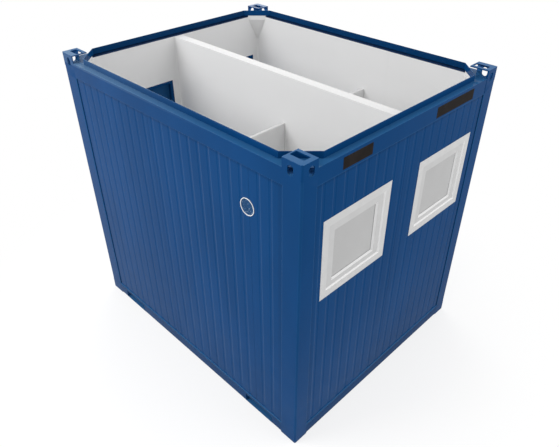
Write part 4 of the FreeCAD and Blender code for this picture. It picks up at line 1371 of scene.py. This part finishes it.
# ------------------------------------------------------------------- rooms
class CONTAINER_OT_rooms(Step, Operator):
    """Finishes the rooms: partition, cubicle walls, floor sheet and skirting"""

    bl_idname = "container.rooms"
    bl_label = "Rooms"

    def run(self, sizes):
        raised = higher(ROOM.z + 1.5)
        for name, node in (("room_divider", "partition"), ("cubicle_panel_1", "cubicle_wall_1"),
                           ("cubicle_panel_2", "cubicle_wall_2")):
            bm = copied(node)
            soften(bm, 0.003, lambda e: raised(e)
                   and abs(e.verts[0].co.z - e.verts[1].co.z) < 0.001, 3)
            piece(name, bm, "white_sheet", stands_for=[node])
        recoat("floor", "floor_sheet")

        # A coved strip along the long walls of each room, and along its window end.
        tall, radius, thick = sizes.skirting, 0.02, 0.003
        outline = [
            (0, tall), (thick, tall - 0.001),
            *((thick + out, 0.002 + up) for up, out in hollow(radius, 5)),
            (thick + radius, 0), (0, 0),
        ]
        end = ROOM.x - sizes.liner
        bm = bmesh.new()
        for face, toward in long_faces(sizes.liner):
            loops(bm, [[(x, face + toward * out, ROOM.z + up) for out, up in outline]
                       for x in (-end, end)])
        for near, far in ((-ROOM.y, -PARTITION), (PARTITION, ROOM.y)):
            loops(bm, [[(end - out, y, ROOM.z + up) for out, up in outline]
                       for y in (near, far)])
        piece("skirting", bm, "floor_sheet", crease=50)


# ------------------------------------------------------------- sign plates
class CONTAINER_OT_plates(Step, Operator):
    """Fixes two bare plates on the rail over the windows"""

    bl_idname = "container.plates"
    bl_label = "Sign plates"

    def run(self, sizes):
        foot, head = RAIL_FOOT + 0.020, RAIL_FOOT + 0.112
        front, inset, r = 0.0009, 0.012, sizes.plate_edge
        for tag, (start, end) in zip("12", ((-0.818, -0.500), (0.312, 0.864))):
            bm = bmesh.new()
            corners = ((start, foot, 1, 1), (end, foot, -1, 1), (end, head, -1, -1),
                       (start, head, 1, -1))
            outline = [
                point for turn, (u, z, su, sz) in enumerate(corners)
                for point in arc((u + su * r, z + sz * r), r, 180 + 90 * turn, 270 + 90 * turn)
            ]
            loops(bm, [[(u, depth, z) for u, z in outline] for depth in (PLATE, front)])
            soften(bm, 0.0004, lambda e: all(abs(v.co.y - front) < 1e-5 for v in e.verts), 1,
                   mark=1)
            piece("sign_plate_" + tag, bm, "sign_enamel", side="window_end")
            bm = bmesh.new()
            for u, z, su, sz in corners:
                # A rivet with a low domed head.
                bar(bm, [
                    (0.00007, 0.0001), (0.00252, 0.00028), (0.0035, 0.0007), (0.0035, 0.0012),
                ], Vector((u + su * inset, 0, z + sz * inset)), 16)
            piece("plate_rivets_" + tag, bm, "sign_enamel", side="window_end")


# ------------------------------------------------------------------- stage
class CONTAINER_OT_stage(Step, Operator):
    """Sets up the floor, the soft lights and the camera"""

    bl_idname = "container.stage"
    bl_label = "Stage"

    @staticmethod
    def seen(kit):
        """What the camera or clear glass shows, what a gloss shows, and either of them."""
        rays = kit.node("ShaderNodeLightPath")
        clear = rays.out("Is Camera Ray").most(rays.out("Is Transmission Ray"))
        gloss = rays.out("Is Glossy Ray")
        return clear, gloss, clear.most(gloss)

    @staticmethod
    def aimed(name, data, spot, look):
        """Puts a lamp or the camera at a spot, looking along a direction."""
        holder = bpy.data.objects.new(name, data)
        holder.location = spot
        holder.rotation_euler = look.to_track_quat("-Z", "Y").to_euler()
        bpy.context.scene.collection.objects.link(holder)
        return holder

    def run(self, sizes):
        scene = bpy.context.scene
        scene.view_settings.view_transform = "Standard"
        white = (1.0, 1.0, 1.0)
        bm = bmesh.new()
        bmesh.ops.create_circle(bm, cap_ends=True, segments=96, radius=45)
        ground = shown("studio_floor", bm)
        paper = bpy.data.materials.new("studio_floor")
        paper.use_nodes = True
        kit = Kit(paper.node_tree)
        clear, gloss, either = self.seen(kit)
        spot = kit.node("ShaderNodeTexCoord", None, "Object")
        away = kit.node("ShaderNodeVectorMath", {0: spot}, "Value", operation="LENGTH")
        # In a gloss the floor is paler away from the corner behind the object.
        behind = kit.node("ShaderNodeVectorMath", {0: spot, 1: (3.0, 3.0, 0.0)}, "Value",
                          operation="DISTANCE")
        level = clear.most((1 - clear) * kit.smooth(behind, 1.0, 10.0, 0.45, 1.0))
        matt = kit.node("ShaderNodeBsdfDiffuse", {"Color": kit.tint(either, (0.86,) * 3, white)})
        lit = kit.node("ShaderNodeEmission", {"Color": white, "Strength": level})
        fade = clear * kit.smooth(away, 1.9, 3.6, 0.7, 1.0)
        kit.node("ShaderNodeOutputMaterial", {
            "Surface": kit.node("ShaderNodeMixShader", {0: fade.most(gloss), 1: matt, 2: lit}),
        })
        ground.data.materials.append(paper)

        scene.world = bpy.data.worlds.new("studio")
        scene.world.use_nodes = True
        kit = Kit(scene.world.node_tree)
        dim = 0.83
        kit.node("ShaderNodeOutputWorld", {"Surface": kit.node("ShaderNodeBackground", {
            "Color": white, "Strength": self.seen(kit)[2] * (1 - dim) + dim,
        })})

        for name, spot, height, size, power in (
            ("back_softbox", (-7.0, 5.5, 5.5), 1.2, 7.0, 210.0),
            ("long_side_softbox", (-3.6, -7.0, 7.8), 1.4, 6.0, 485.0),
            ("end_softbox", (7.2, 3.4, 6.5), 1.4, 7.0, 200.0),
        ):
            lamp = bpy.data.lights.new(name, "AREA")
            lamp.shape, lamp.size, lamp.energy = "DISK", size, power
            self.aimed(name, lamp, spot, Vector((0, 0, height)) - Vector(spot))

        camera = bpy.data.cameras.new("camera")
        camera.sensor_width, camera.lens, camera.sensor_fit = 36.0, 35.64, "HORIZONTAL"
        camera.clip_start, camera.clip_end = 0.05, 200.0
        turn, lift = math.radians(44.974), math.radians(35.316)
        look = Vector((-math.sin(turn) * math.cos(lift), math.cos(turn) * math.cos(lift),
                       -math.sin(lift)))
        scene.camera = self.aimed("camera", camera, (3.4399, -3.3583, 4.4499), look)


STEPS = (
    CONTAINER_OT_posts, CONTAINER_OT_castings, CONTAINER_OT_rails, CONTAINER_OT_underside,
    CONTAINER_OT_cladding, CONTAINER_OT_walls, CONTAINER_OT_windows, CONTAINER_OT_vent,
    CONTAINER_OT_doors, CONTAINER_OT_rooms, CONTAINER_OT_plates, CONTAINER_OT_stage,
)


class CONTAINER_PT_build(Panel):
    """Lists the steps and the settings"""

    bl_idname = "CONTAINER_PT_build"
    bl_label = "Toilet container"
    bl_space_type = "VIEW_3D"
    bl_region_type = "UI"
    bl_category = "Container"

    def draw(self, context):
        layout = self.layout
        for step in STEPS:
            layout.operator(step.bl_idname)
        for group in (context.scene.container_sizes, context.scene.container_colours):
            box = layout.box()
            for name in group.__annotations__:
                box.prop(group, name)


CLASSES = (ContainerSizes, ContainerColours, *STEPS, CONTAINER_PT_build)


def register():
    for made in CLASSES:
        bpy.utils.register_class(made)
    bpy.types.Scene.container_sizes = PointerProperty(type=ContainerSizes)
    bpy.types.Scene.container_colours = PointerProperty(type=ContainerColours)


def unregister():
    del bpy.types.Scene.container_colours
    del bpy.types.Scene.container_sizes
    for made in reversed(CLASSES):
        bpy.utils.unregister_class(made)


def main():
    """Registers the add-on and runs its steps in order."""
    register()
    for step in STEPS:
        group, name = step.bl_idname.split(".")
        getattr(getattr(bpy.ops, group), name)()


if __name__ == "__main__":
    main()
